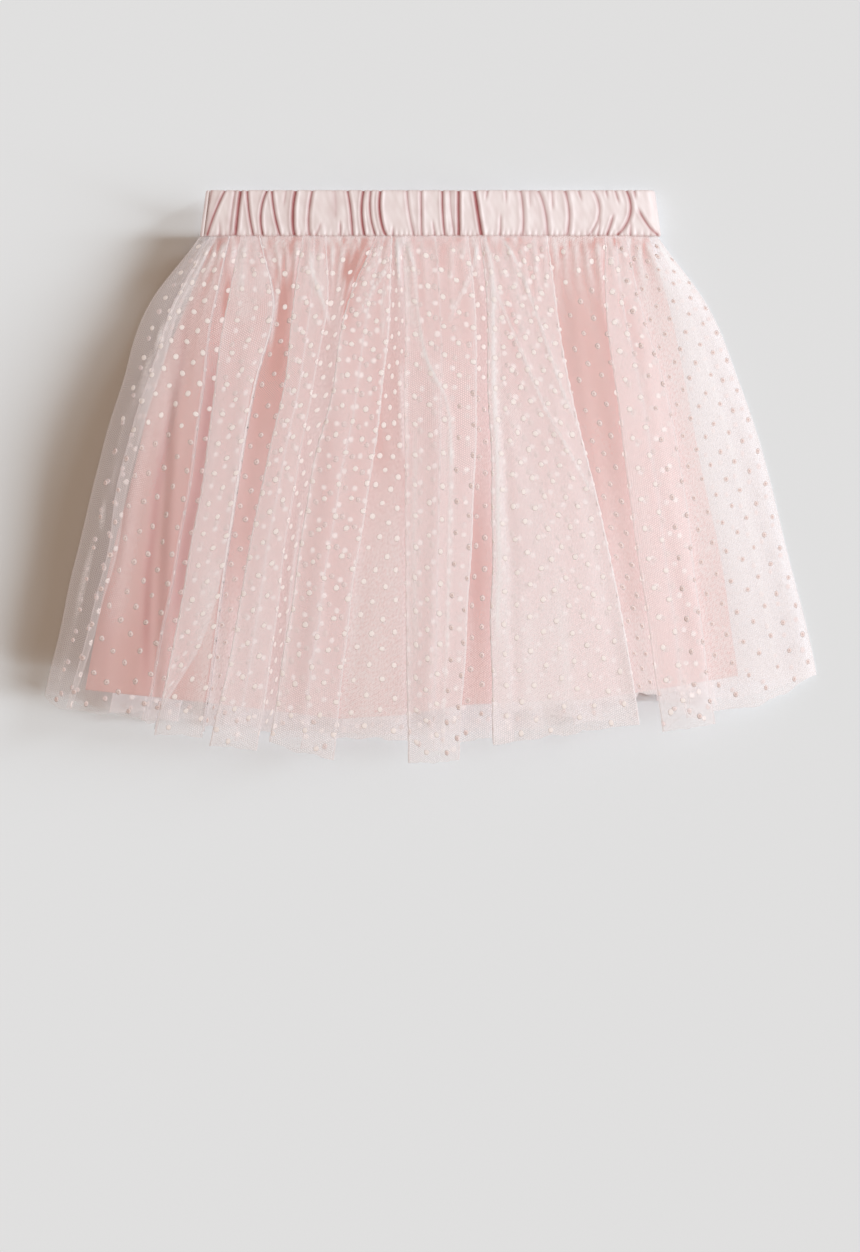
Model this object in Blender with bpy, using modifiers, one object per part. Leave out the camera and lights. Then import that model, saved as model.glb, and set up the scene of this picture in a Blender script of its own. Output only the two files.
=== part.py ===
"""A child's gathered tulle skirt, laid flat on its back.

The frame is in metres with +Z up. +Y runs from the hem to the waist, and the skirt's
front faces up. The lengths named below are in millimetres, and MM turns them into
metres where the meshes are made.

Six cut pieces: two gathered waistband casings, two A-line lining panels and two full
tulle panels. From the surface up they lie as back tulle, back lining, front lining and
front tulle. Each tulle panel is one sheet whose cross-section runs to and fro through
its box folds, and every fold widens from the waist to the hem.
"""

from dataclasses import dataclass

import bmesh
import bpy
import numpy as np

MM = 0.001
OBJECT_NAME = "tulle_skirt"

# Walls and gaps
CLOTH_WALL = 1.0
BAND_WALL = 2.4
SEAM_GAP = 0.3
TILT_ALLOWANCE = 0.2

# The waistband
BAND_TOP_Y = 153.9
BAND_BOTTOM_Y = 129.0
BAND_HALF_WIDTH = 120.7
BAND_HEIGHT = 10.8
BAND_CORNER = 4.0
BAND_LIP = 1.5
GATHER_DEPTH = 1.1
GATHER_CLEARANCE = 0.3
GATHERS_FRONT = 40
GATHERS_BACK = 38
COLUMNS_PER_GATHER = 3
WANDER_TURNS = 22.0
WANDER_SLANT = 2.4
DEPTH_VARIES = 0.22
DEPTH_TURNS = 23.0
DEPTH_SLANT = 1.5
EDGE_FLATTENS = 0.45

# The panels hang from this line, and their creases are given at these distances
PANEL_TOP_Y = BAND_BOTTOM_Y - SEAM_GAP - TILT_ALLOWANCE
CREASE_Y = (PANEL_TOP_Y, 92.0, 5.0, -120.0)
NOMINAL_HEM_Y = -140.0

# Heights of the layers' middles
FACE_HEIGHT = CLOTH_WALL / 2
STEP_AT_WAIST = 1.5
STEP_AT_HEM = 2.2
STEP_GROWS_UNTIL = 0.4
LAYER_PITCH = 1.4
TULLE_OVER_LINING = 1.6
FACE_CROWN = 0.8
FACE_SAG = 0.75
SAG_STARTS_ACROSS = 0.62
SAG_FULL_AT = 0.5
TUCK_AT_WAIST = 0.4
TUCK_CLEARANCE = 0.9
SEAM_GATHER_LIFT = 1.0
SEAM_GATHERS_END = 0.35
SIDE_LIFT_AT_WAIST = 2.5
SIDE_LIFT_ENDS = 0.2
RAMP_CLEAR_OF_LINING = 2.0

# Steps along the length of a panel, as shares of it from waist to hem
TULLE_ROWS = (0.0, 0.06, 0.15, 0.28, 0.42, 0.57, 0.72, 0.86, 1.0)
LINING_ROWS = (0.0, 0.08, 0.2, 0.4, 0.6, 0.8, 1.0)
LINING_COLUMNS = 41
BEND_ANGLES = np.radians((-90.0, -30.0, 30.0, 90.0))
RUN_COLUMN_SPACING = 13.0
SIDE_COLUMNS = 4
SIDE_FOLD_TUCK_SHARE = 0.2
BAND_ROWS = (0.0, 0.25, 0.5, 0.75, 1.0)


def curve_through(stations, values, at):
    """Smooth curve through values at falling stations, straight past the last one."""
    place = -np.asarray(stations, float)
    value = np.asarray(values, float)
    where = -np.asarray(at, float)
    slope = np.diff(value) / np.diff(place)
    tangent = np.concatenate(([slope[0]], (slope[:-1] + slope[1:]) / 2, [slope[-1]]))
    span = np.clip(np.searchsorted(place, where, side="right") - 1, 0, len(slope) - 1)
    width = place[span + 1] - place[span]
    share = (where - place[span]) / width
    inside = np.clip(share, 0.0, 1.0)
    curve = (
        (2 * inside**3 - 3 * inside**2 + 1) * value[span]
        + (inside**3 - 2 * inside**2 + inside) * width * tangent[span]
        + (3 * inside**2 - 2 * inside**3) * value[span + 1]
        + (inside**3 - inside**2) * width * tangent[span + 1]
    )
    return curve + (share - inside) * width * slope[span]


def smooth_step(share):
    """Eases from 0 to 1 as share goes from 0 to 1."""
    held = np.clip(share, 0.0, 1.0)
    return held * held * (3 - 2 * held)


@dataclass(frozen=True)
class Crease:
    """A line down a panel: its x at each distance in CREASE_Y."""

    waist: float
    shoulder: float
    middle: float
    low: float

    def at(self, y):
        return curve_through(CREASE_Y, (self.waist, self.shoulder, self.middle, self.low), y)


@dataclass(frozen=True)
class Fold:
    """A box fold: its two outer creases, the y of its hem at each, and its tucks.

    tuck is how far the cloth runs back under the face at the hem, sag is how much of
    the fold's height the middle of a wide face loses, and gathers is how many small
    gathers of the waist seam run out on its face.
    """

    name: str
    left: Crease
    right: Crease
    left_hem: float
    right_hem: float
    tuck: float
    sag: float
    gathers: int


@dataclass(frozen=True)
class SoftFold:
    """A low rounded ridge of the lining: its line, its height and its half width."""

    line: Crease
    height: float
    half_width: float


SIDE_LEFT = Crease(-125.0, -153.6, -180.6, -209.8)
SIDE_RIGHT = Crease(122.9, 150.4, 181.7, 212.3)
LINING_LEFT = Crease(-116.4, -131.5, -159.0, -186.6)
LINING_RIGHT = Crease(117.5, 130.0, 146.5, 167.7)

FRONT_FOLDS = (
    Fold("side", Crease(-118.0, -138.5, -165.2, -194.1),
         Crease(-108.0, -115.8, -127.7, -150.4), -124.7, -131.0, 12.0, 1.0, 3),
    Fold("narrow", Crease(-102.3, -109.4, -121.2, -143.6),
         Crease(-91.5, -86.5, -102.3, -120.7), -138.8, -140.4, 9.0, 0.0, 1),
    Fold("second", Crease(-68.9, -73.7, -88.8, -113.1),
         Crease(-57.0, -55.4, -69.9, -88.8), -144.7, -147.4, 9.0, 0.0, 1),
    Fold("third", Crease(-31.5, -44.6, -62.9, -83.4),
         Crease(-20.6, -22.4, -31.1, -48.3), -142.6, -152.3, 13.0, 0.0, 1),
    Fold("centre", Crease(-15.0, -14.3, -13.8, -12.7),
         Crease(20.3, 24.6, 24.0, 17.6), -153.9, -152.3, 11.0, 0.0, 3),
    Fold("broad", Crease(26.7, 30.5, 32.7, 33.2),
         Crease(63.5, 67.8, 85.6, 109.9), -144.2, -133.4, 15.0, 1.0, 4),
    Fold("right", Crease(93.7, 94.2, 104.0, 123.4),
         Crease(105.6, 113.7, 134.7, 150.9), -137.2, -133.0, 11.0, 0.0, 1),
)

BACK_FOLDS = (
    Fold("back_a", Crease(-110.0, -122.0, -147.0, -172.0),
         Crease(-84.0, -92.0, -112.0, -134.0), -127.0, -132.0, 11.0, 0.0, 2),
    Fold("back_b", Crease(-72.0, -76.0, -90.0, -110.0),
         Crease(-40.0, -43.0, -50.0, -62.0), -134.0, -137.0, 14.0, 0.0, 2),
    Fold("back_c", Crease(-31.0, -33.0, -38.0, -47.0),
         Crease(-8.0, -8.0, -10.0, -14.0), -138.0, -139.0, 10.0, 0.0, 2),
    Fold("back_d", Crease(4.0, 5.0, 8.0, 9.0),
         Crease(38.0, 41.0, 50.0, 60.0), -139.0, -136.0, 15.0, 0.0, 2),
    Fold("back_e", Crease(47.0, 51.0, 62.0, 76.0),
         Crease(70.0, 78.0, 92.0, 106.0), -134.0, -124.0, 10.0, 0.0, 2),
    Fold("back_f", Crease(80.0, 89.0, 105.0, 122.0),
         Crease(108.0, 118.0, 135.0, 154.0), -121.0, -123.0, 12.0, 0.0, 2),
)

# x and y of the hem between the folds, from the left side to the right
FRONT_HEM_X = (-209.8, -195.8, -168.2, -130.0, -50.0, 15.0, 100.0, 112.0, 121.0, 135.0,
               173.0, 195.8, 209.5)
FRONT_HEM_Y = (-117.2, -125.3, -132.0, -133.0, -140.4, -143.0, -130.0, -119.0, -119.0, -128.0,
               -123.7, -114.0, -106.9)
BACK_HEM_X = (-209.8, -168.0, -100.0, -20.0, 60.0, 108.0, 122.0, 165.0, 209.5)
BACK_HEM_Y = (-116.5, -127.0, -134.0, -139.0, -135.0, -119.0, -118.0, -121.0, -106.5)
LINING_HEM_X = (-186.0, -123.4, -47.8, -15.9, 18.1, 88.8, 121.2, 167.0)
LINING_HEM_Y = (-114.5, -121.0, -130.0, -128.2, -122.6, -119.3, -114.5, -107.0)
LINING_BACK_RISE = 1.5

LINING_SOFT_FOLDS = (
    SoftFold(Crease(-109.0, -126.0, -149.0, -170.0), 1.6, 15.0),
    SoftFold(Crease(-97.0, -104.0, -120.0, -131.0), 1.4, 16.0),
    SoftFold(Crease(-66.0, -70.0, -82.0, -94.0), 1.2, 18.0),
    SoftFold(Crease(-30.0, -33.0, -40.0, -44.0), 1.6, 20.0),
    SoftFold(Crease(8.0, 9.0, 12.0, 16.0), 1.2, 19.0),
    SoftFold(Crease(54.0, 58.0, 66.0, 70.0), 1.7, 20.0),
    SoftFold(Crease(88.0, 94.0, 108.0, 124.0), 1.4, 16.0),
)


def share_down(y):
    """How far down the skirt a place lies, from 0 at the waist seam to 1 at the hem."""
    return np.clip((PANEL_TOP_Y - y) / (PANEL_TOP_Y - NOMINAL_HEM_Y), 0.0, 1.1)


def fold_step(y):
    """Height from one layer of a fold to the next."""
    grown = smooth_step(share_down(y) / STEP_GROWS_UNTIL)
    return STEP_AT_WAIST + (STEP_AT_HEM - STEP_AT_WAIST) * grown


def side_ramp(x, y):
    """0 along the skirt's sides and 1 where the lining lies between the tulle panels."""
    from_left = (x - SIDE_LEFT.at(y)) / (
        LINING_LEFT.at(y) - RAMP_CLEAR_OF_LINING - SIDE_LEFT.at(y)
    )
    from_right = (SIDE_RIGHT.at(y) - x) / (
        SIDE_RIGHT.at(y) - LINING_RIGHT.at(y) - RAMP_CLEAR_OF_LINING
    )
    return smooth_step(np.minimum(from_left, from_right))


def side_lift(y):
    """How far the sides rise from the surface as they near the waistband."""
    near_waist = np.clip(1 - share_down(y) / SIDE_LIFT_ENDS, 0.0, 1.0)
    return SIDE_LIFT_AT_WAIST * near_waist**2


def lining_wave(x, y):
    """Height that the lining's soft folds add."""
    spread = smooth_step(share_down(y) / STEP_GROWS_UNTIL)
    rise = sum(
        fold.height * np.exp(-(((x - fold.line.at(y)) / fold.half_width) ** 2))
        for fold in LINING_SOFT_FOLDS
    )
    return rise * spread * side_ramp(x, y)


def back_tulle_height(x, y):
    """Middle of the back tulle between its folds."""
    on_surface = FACE_HEIGHT + side_lift(y)
    under_lining = FACE_HEIGHT + 2 * fold_step(y)
    return on_surface + (under_lining - on_surface) * side_ramp(x, y)


def back_lining_height(y):
    """Middle of the back lining."""
    return FACE_HEIGHT + 2 * fold_step(y) + LAYER_PITCH


def front_lining_height(x, y):
    """Middle of the front lining, with its soft folds."""
    return back_lining_height(y) + LAYER_PITCH + lining_wave(x, y)


def front_tulle_height(x, y):
    """Middle of the front tulle between its folds."""
    at_side = FACE_HEIGHT + side_lift(y) + CLOTH_WALL + SEAM_GAP
    over_lining = front_lining_height(x, y) + TULLE_OVER_LINING
    return at_side + (over_lining - at_side) * side_ramp(x, y)


def hanging_line(hem):
    """The y of each row of a column that ends at hem."""
    return PANEL_TOP_Y + (hem - PANEL_TOP_Y) * np.asarray(TULLE_ROWS)


def tuck_depth(fold, y):
    """How far under a fold's face its cloth runs back, held to the two tucks' room."""
    deep = fold.tuck * (TUCK_AT_WAIST + (1 - TUCK_AT_WAIST) * share_down(y))
    half_face = (fold.right.at(y) - fold.left.at(y)) / 2
    return np.minimum(deep, half_face - fold_step(y) / 2 - TUCK_CLEARANCE)


def bend_columns(turn, bulge, hem, lowest, rising):
    """The columns round one bend, half a circle of half a fold step's radius.

    turn gives the bend's outermost x at y, bulge is 1 if it bulges to the right and -1
    to the left, and lowest is how many fold steps its lower end stands up.
    """
    y = hanging_line(hem)
    radius = fold_step(y) / 2
    columns = []
    for angle in BEND_ANGLES if rising else BEND_ANGLES[::-1]:
        x = turn(y) - bulge * radius * (1 - np.cos(angle))
        columns.append((x, y, radius * (2 * lowest + 1 + np.sin(angle))))
    return columns


def fold_columns(fold, between_hem):
    """The columns of one box fold as (x, y, height over the cloth beside it).

    The cloth runs in under the face, bends back to the outer crease, bends up and
    across the face, and comes back under it in the same way.
    """
    beside_left = between_hem(fold.left.at(fold.left_hem))
    beside_right = between_hem(fold.right.at(fold.right_hem))
    inner_left_hem = (beside_left + fold.left_hem) / 2
    inner_right_hem = (beside_right + fold.right_hem) / 2

    def left_tuck(y):
        return fold.left.at(y) + tuck_depth(fold, y)

    def right_tuck(y):
        return fold.right.at(y) - tuck_depth(fold, y)

    return [
        *bend_columns(left_tuck, 1, inner_left_hem, 0, True),
        *bend_columns(fold.left.at, -1, fold.left_hem, 1, True),
        *face_columns(fold),
        *bend_columns(fold.right.at, 1, fold.right_hem, 1, False),
        *bend_columns(right_tuck, -1, inner_right_hem, 0, False),
    ]


def seam_gather(y):
    """How far the waist seam's gathers lift the cloth between two stitches."""
    return SEAM_GATHER_LIFT * (1 - smooth_step(share_down(y) / SEAM_GATHERS_END))


def face_columns(fold):
    """The columns across a fold's face, crowned if it keeps its height and else sagging.

    Every second column is lifted near the waist, which makes the small gathers.
    """
    columns = []
    count = 2 * fold.gathers + 1
    for place in range(1, count + 1):
        share = place / (count + 1)
        y = hanging_line(fold.left_hem + (fold.right_hem - fold.left_hem) * share)
        step = fold_step(y)
        left = fold.left.at(y) + step / 2
        right = fold.right.at(y) - step / 2
        across = np.sin(np.pi * share)
        inside = smooth_step((across - SAG_STARTS_ACROSS) / (1 - SAG_STARTS_ACROSS))
        sagging = inside * smooth_step(share_down(y) / SAG_FULL_AT)
        level = 2 * step * (1 - fold.sag * FACE_SAG * sagging)
        level = level + FACE_CROWN * (1 - fold.sag) * across * share_down(y)
        if place % 2 == 0:
            level = level + seam_gather(y)
        columns.append((left + (right - left) * share, y, level))
    return columns


def run_columns(start_x, end_x, between_hem):
    """Columns of the single layer that runs from one x line to the next."""
    width = float(end_x(NOMINAL_HEM_Y) - start_x(NOMINAL_HEM_Y))
    count = max(1, round(width / RUN_COLUMN_SPACING) - 1)
    columns = []
    for share in np.arange(1, count + 1) / (count + 1):
        at_hem = start_x(CREASE_Y[-1]) + (end_x(CREASE_Y[-1]) - start_x(CREASE_Y[-1])) * share
        y = hanging_line(between_hem(at_hem))
        x = start_x(y) + (end_x(y) - start_x(y)) * share
        columns.append((x, y, np.zeros_like(y)))
    return columns


def side_columns(side, inner, between_hem):
    """Columns of the single layer from the skirt's side in to the line inner."""
    inner_low = inner(CREASE_Y[-1])
    columns = []
    for share in np.arange(SIDE_COLUMNS) / (SIDE_COLUMNS - 1):
        y = hanging_line(between_hem(side.low + (inner_low - side.low) * share))
        x = side.at(y) + (inner(y) - side.at(y)) * share
        columns.append((x, y, np.zeros_like(y)))
    return columns


def ramp_top(lining, inward):
    """The line, outside a lining's edge, where the cloth over it has risen fully."""
    return lambda y: lining.at(y) - inward * RAMP_CLEAR_OF_LINING


def tuck_line(fold):
    """The line where the single layer comes to the bend under a fold's left side."""
    return lambda y: fold.left.at(y) + fold.tuck * SIDE_FOLD_TUCK_SHARE


def tulle_grid(folds, hem_x, hem_y, height_of, upward):
    """Points of a whole tulle panel, a row for each share of its length.

    height_of gives the middle of the single layer, and the folds stand on it, upward
    on the front and downward on the back.
    """

    def between_hem(x):
        return float(np.interp(x, hem_x, hem_y))

    if folds[0].left.low < LINING_LEFT.low:
        columns = side_columns(SIDE_LEFT, tuck_line(folds[0]), between_hem)
    else:
        columns = side_columns(SIDE_LEFT, ramp_top(LINING_LEFT, 1), between_hem)
        columns += run_columns(ramp_top(LINING_LEFT, 1), folds[0].left.at, between_hem)
    for index, fold in enumerate(folds):
        if index:
            columns += run_columns(folds[index - 1].right.at, fold.left.at, between_hem)
        columns += fold_columns(fold, between_hem)
    columns += run_columns(folds[-1].right.at, ramp_top(LINING_RIGHT, -1), between_hem)
    columns += side_columns(SIDE_RIGHT, ramp_top(LINING_RIGHT, -1), between_hem)[::-1]
    x, y, level = (np.array([column[k] for column in columns]).T for k in range(3))
    z = height_of(x, y) + (level if upward else -level)
    return np.stack([x, y, np.maximum(z, FACE_HEIGHT)], axis=-1)


def lining_grid(height_of, hem_rise):
    """Points of a lining panel between its two slanted sides."""
    share = np.linspace(0.0, 1.0, LINING_COLUMNS)
    low_x = LINING_LEFT.low + (LINING_RIGHT.low - LINING_LEFT.low) * share
    hem = np.interp(low_x, LINING_HEM_X, LINING_HEM_Y) + hem_rise
    y = PANEL_TOP_Y + (hem - PANEL_TOP_Y) * np.asarray(LINING_ROWS)[:, None]
    x = LINING_LEFT.at(y) + (LINING_RIGHT.at(y) - LINING_LEFT.at(y)) * share
    return np.stack([x, y, height_of(x, y)], axis=-1)


def band_path(gathers):
    """The waistband's section: a lip up the left side, a corner and the long run.

    Returns the path's points, its normals and the distance along it, all from the lip.
    """
    left = -BAND_HALF_WIDTH + BAND_WALL / 2
    low = BAND_WALL / 2 + GATHER_DEPTH + GATHER_CLEARANCE
    right = BAND_HALF_WIDTH - BAND_WALL - SEAM_GAP
    turn = np.radians((180.0, 202.5, 225.0, 247.5, 270.0))
    lip = np.array([[left, low + BAND_CORNER + BAND_LIP]])
    corner = np.stack(
        [left + BAND_CORNER * (1 + np.cos(turn)), low + BAND_CORNER * (1 + np.sin(turn))], axis=1
    )
    run_x = np.linspace(left + BAND_CORNER, right, gathers * COLUMNS_PER_GATHER + 1)[1:]
    run = np.stack([run_x, np.full_like(run_x, low)], axis=1)
    path = np.concatenate([lip, corner, run])
    along = np.concatenate([[0.0], np.cumsum(np.linalg.norm(np.diff(path, axis=0), axis=1))])
    tangent = np.gradient(path, along, axis=0)
    tangent /= np.linalg.norm(tangent, axis=1)[:, None]
    normal = np.stack([-tangent[:, 1], tangent[:, 0]], axis=1)
    return path, normal, along


def band_grid(gathers, unevenness, front):
    """Points of one waistband casing, gathered all along its run.

    The gathers are waves across the band, a little uneven in pitch and depth, deepest
    half way up. The front casing is the back one turned half round about +Y.
    """
    path, normal, along = band_path(gathers)
    first = along[len(along) - gathers * COLUMNS_PER_GATHER - 1]
    share = (along - first) / (along[-1] - first)
    up = np.asarray(BAND_ROWS)[:, None]
    wander = unevenness * np.sin(WANDER_TURNS * share + WANDER_SLANT * up)
    depth = 1 - DEPTH_VARIES * (1 - np.sin(DEPTH_TURNS * share + DEPTH_SLANT * up))
    fade = smooth_step(share * gathers / 1.5) * smooth_step((1 - share) * gathers / 1.5)
    swell = 1 - EDGE_FLATTENS * (1 - np.sin(np.pi * np.clip(up, 0.1, 0.9)))
    bulge = GATHER_DEPTH * depth * swell * fade * np.cos(2 * np.pi * gathers * share + wander)
    x = path[:, 0] + normal[:, 0] * bulge
    z = path[:, 1] + normal[:, 1] * bulge
    y = BAND_BOTTOM_Y + (BAND_TOP_Y - BAND_BOTTOM_Y) * (1 - up) + np.zeros_like(x)
    if front:
        x = -x
        z = BAND_HEIGHT - z
    return np.stack([x, y, z], axis=-1)


def plain_material(name, colour, roughness):
    """Principled cloth material of one colour."""
    material = bpy.data.materials.new(name)
    material.use_nodes = True
    shader = material.node_tree.nodes["Principled BSDF"]
    shader.inputs["Base Color"].default_value = (*colour, 1.0)
    shader.inputs["Roughness"].default_value = roughness
    shader.inputs["Metallic"].default_value = 0.0
    return material


def add_cloth(name, grid, wall, material, parts):
    """Puts a grid's points into a mesh sheet and gives it a wall."""
    rows, columns = grid.shape[:2]
    sheet = bmesh.new()
    bmesh.ops.create_grid(sheet, x_segments=columns - 1, y_segments=rows - 1, size=1.0)
    for vertex in sheet.verts:
        column = round((vertex.co.x + 1) / 2 * (columns - 1))
        row = round((1 - vertex.co.y) / 2 * (rows - 1))
        vertex.co = grid[row, column] * MM
    mesh = bpy.data.meshes.new(name)
    sheet.to_mesh(mesh)
    sheet.free()
    mesh.materials.append(material)
    mesh.shade_smooth()
    cloth = bpy.data.objects.new(name, mesh)
    parts.objects.link(cloth)
    solidify = cloth.modifiers.new("wall", "SOLIDIFY")
    solidify.thickness = wall * MM
    solidify.offset = 0.0
    solidify.use_even_offset = True
    return cloth


def clear_scene():
    """Removes whatever the file starts with."""
    for item in list(bpy.data.objects):
        bpy.data.objects.remove(item, do_unlink=True)


def build_waistband(parts):
    """The two gathered satin casings."""
    satin_front = plain_material("satin_front", (0.83, 0.57, 0.55), 0.35)
    satin_back = plain_material("satin_back", (0.81, 0.55, 0.53), 0.35)
    add_cloth("waistband_front", band_grid(GATHERS_FRONT, 0.9, True), BAND_WALL, satin_front, parts)
    add_cloth("waistband_back", band_grid(GATHERS_BACK, 1.1, False), BAND_WALL, satin_back, parts)


def build_lining(parts):
    """The two A-line panels, the back one a little shorter and flat."""
    salmon_front = plain_material("lining_front_cloth", (0.80, 0.42, 0.39), 0.7)
    salmon_back = plain_material("lining_back_cloth", (0.78, 0.40, 0.37), 0.7)
    front = lining_grid(front_lining_height, 0.0)
    back = lining_grid(lambda x, y: back_lining_height(y) + np.zeros_like(x), LINING_BACK_RISE)
    add_cloth("lining_front", front, CLOTH_WALL, salmon_front, parts)
    add_cloth("lining_back", back, CLOTH_WALL, salmon_back, parts)


def build_tulle(parts):
    """The two full net panels, folded towards the viewer and towards the surface."""
    net_front = plain_material("tulle_front_net", (0.90, 0.76, 0.74), 0.8)
    net_back = plain_material("tulle_back_net", (0.88, 0.73, 0.71), 0.8)
    front = tulle_grid(FRONT_FOLDS, FRONT_HEM_X, FRONT_HEM_Y, front_tulle_height, True)
    back = tulle_grid(BACK_FOLDS, BACK_HEM_X, BACK_HEM_Y, back_tulle_height, False)
    add_cloth("tulle_front", front, CLOTH_WALL, net_front, parts)
    add_cloth("tulle_back", back, CLOTH_WALL, net_back, parts)


def main():
    clear_scene()
    parts = bpy.data.collections.new(OBJECT_NAME)
    bpy.context.scene.collection.children.link(parts)
    build_waistband(parts)
    build_lining(parts)
    build_tulle(parts)


main()
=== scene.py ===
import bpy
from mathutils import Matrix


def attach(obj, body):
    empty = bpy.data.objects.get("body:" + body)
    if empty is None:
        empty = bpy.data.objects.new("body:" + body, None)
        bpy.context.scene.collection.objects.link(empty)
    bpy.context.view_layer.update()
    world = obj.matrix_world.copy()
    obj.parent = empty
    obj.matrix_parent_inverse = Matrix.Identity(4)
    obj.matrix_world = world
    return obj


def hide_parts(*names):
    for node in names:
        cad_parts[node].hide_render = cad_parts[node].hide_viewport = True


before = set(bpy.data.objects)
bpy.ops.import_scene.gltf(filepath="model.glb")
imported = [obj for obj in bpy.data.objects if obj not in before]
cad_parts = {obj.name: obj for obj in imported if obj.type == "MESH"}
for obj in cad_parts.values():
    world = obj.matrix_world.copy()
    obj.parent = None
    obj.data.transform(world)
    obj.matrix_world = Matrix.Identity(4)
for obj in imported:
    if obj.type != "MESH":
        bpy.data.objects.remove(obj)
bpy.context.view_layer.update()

"""The finish of a child's gathered tulle skirt that lies flat on its back.

The frame is in metres with +Z up and +Y from the hem to the waist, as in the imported
model. Every length named below is in millimetres, and MM turns it into metres where a
mesh is made. A panel is a grid of rows, from the waist down, by columns, from the left
side to the right, and its cloth coordinates are the distances on the flat cut.
"""

import logging
import math
from dataclasses import dataclass, fields, replace
from enum import Enum
from typing import Callable, Sequence

import bmesh
import bpy
import numpy as np

MM = 0.001
BODY = "root"
Grid = np.ndarray
Grids = tuple[Grid, Grid]
LineOf = Callable[[Grid], Grid]
Numbers = tuple[float, ...]
Pair = tuple[float, float]
Triple = tuple[float, float, float]
Piece = bpy.types.Object
Material = bpy.types.Material
Socket = bpy.types.NodeSocket

log = logging.getLogger("tulle_skirt")


class Side(Enum):
    """Which half of the skirt a piece belongs to."""

    FRONT = "front"
    BACK = "back"

    @property
    def up(self) -> int:
        """1 for the front, whose right side faces up, and -1 for the back."""
        return 1 if self is Side.FRONT else -1


class Layer(Enum):
    """Whether a strip of net lies open to view or under a fold's face."""

    SHOWN = "shown"
    HIDDEN = "hidden"


def ease(share: Grid) -> Grid:
    """Eases from 0 to 1 as share goes from 0 to 1: 3 s squared less 2 s cubed."""
    held = np.clip(share, 0.0, 1.0)
    return held * held * (3 - 2 * held)


def curve_through(stations: Sequence[float], values: Sequence[float], at: Grid) -> Grid:
    """Smooth curve through values at falling stations, straight past the last one.

    Each span is a cubic Hermite whose end slopes are the mean of the slopes beside it.

    Args:
        stations: the y of each value, from the waist down.
        values: the value at each station.
        at: the y to read the curve at.

    Returns:
        The curve's value at each y.
    """
    place = -np.asarray(stations, float)
    value = np.asarray(values, float)
    where = -np.asarray(at, float)
    slope = np.diff(value) / np.diff(place)
    tangent = np.concatenate(([slope[0]], (slope[:-1] + slope[1:]) / 2, [slope[-1]]))
    span = np.clip(np.searchsorted(place, where, side="right") - 1, 0, len(slope) - 1)
    width = place[span + 1] - place[span]
    share = (where - place[span]) / width
    inside = np.clip(share, 0.0, 1.0)
    curve = (
        (2 * inside**3 - 3 * inside**2 + 1) * value[span]
        + (inside**3 - 2 * inside**2 + inside) * width * tangent[span]
        + (3 * inside**2 - 2 * inside**3) * value[span + 1]
        + (inside**3 - inside**2) * width * tangent[span + 1]
    )
    return curve + (share - inside) * width * slope[span]


def unit(vectors: Grid) -> Grid:
    """Vectors, along the last axis, of length 1."""
    return vectors / np.maximum(np.linalg.norm(vectors, axis=-1, keepdims=True), 1e-9)


def lengths_along(points: Grid) -> Grid:
    """Distance from the first row to each one: the running sum of the steps' lengths."""
    step = np.linalg.norm(np.diff(points, axis=0), axis=-1)
    return np.concatenate([np.zeros((1, *step.shape[1:])), np.cumsum(step, axis=0)])


def quads(rows: int, columns: int, round_rows: bool = False, round_columns: bool = False) -> Grid:
    """Four-sided faces between neighbouring points of a grid that may close on itself.

    Args:
        rows: how many rows of points.
        columns: how many in each.
        round_rows: whether the first row comes after the last one again.
        round_columns: the same of the columns.

    Returns:
        The point numbers of each face.
    """
    row = np.arange(rows - 1 + round_rows)[:, None]
    column = np.arange(columns - 1 + round_columns)
    here, after = row * columns, (row + 1) % rows * columns
    beside = (column + 1) % columns
    return np.stack([here + column, after + column, after + beside, here + beside], axis=-1).reshape(-1, 4)


@dataclass(frozen=True)
class Wander:
    """A gentle seeded wandering of about a swing to either side of its middle.

    It is a third of the sum of five plane sines. Their directions, lengths and phases
    are drawn with the piece's seed plus the draw, and across and down are how fast it
    goes by each way.
    """

    wavelength: float
    draw: int = 0
    swing: float = 1.0
    middle: float = 0.0
    across: float = 1.0
    down: float = 1.0
    waves: int = 5
    shortest: float = 0.7
    longest: float = 1.5

    def at(self, x: Grid, y: Grid, seed: int) -> Grid:
        """The wandering at places in millimetres, for one piece's seed."""
        draw = np.random.default_rng(seed + self.draw)
        turns = draw.uniform(0, math.pi, self.waves)
        rates = 2 * math.pi / (self.wavelength * draw.uniform(self.shortest, self.longest, self.waves))
        phases = draw.uniform(0, 2 * math.pi, self.waves)
        x, y = x * self.across, y * self.down
        sines = [
            np.sin(rate * (x * math.cos(turn) + y * math.sin(turn)) + phase)
            for turn, rate, phase in zip(turns, rates, phases)
        ]
        return self.middle + self.swing * sum(sines) / 3.0


# Heights and places that several pieces share
PANEL_TOP_Y = 128.5
SEAM_ALLOWANCE = 1.8
NOMINAL_HEM_Y = -140.0
SKIRT_HEIGHT = 10.8
SEAM_Z = SKIRT_HEIGHT / 2
BAND_HALF_WIDTH = 120.7
WAIST_WIDTH = 244.0

# Where a line down a panel has its values
COARSE_Y = (PANEL_TOP_Y, 92.0, 5.0, -120.0)
FINE_Y = (PANEL_TOP_Y, 92.0, 48.6, 5.0, -45.0, -90.0, -120.0)
STATIONS = {len(COARSE_Y): COARSE_Y, len(FINE_Y): FINE_Y}


@dataclass(frozen=True)
class Run:
    """A number that changes down a panel: its value at the four coarse or seven fine stations."""

    values: Numbers

    def at(self, y: Grid) -> Grid:
        """The number at y."""
        return curve_through(STATIONS[len(self.values)], self.values, y)


class Line(Run):
    """A line down a panel: its x at the stations."""


def steady(value: float) -> Run:
    """A number that stays the same down a panel."""
    return Run((value,) * len(FINE_Y))


# The two tucks of a fold share the room under its face, each by its depth
DEEP = steady(80.0)
SHALLOW = steady(0.5)
FAINT = steady(0.15)
ONE = steady(1.0)


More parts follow.
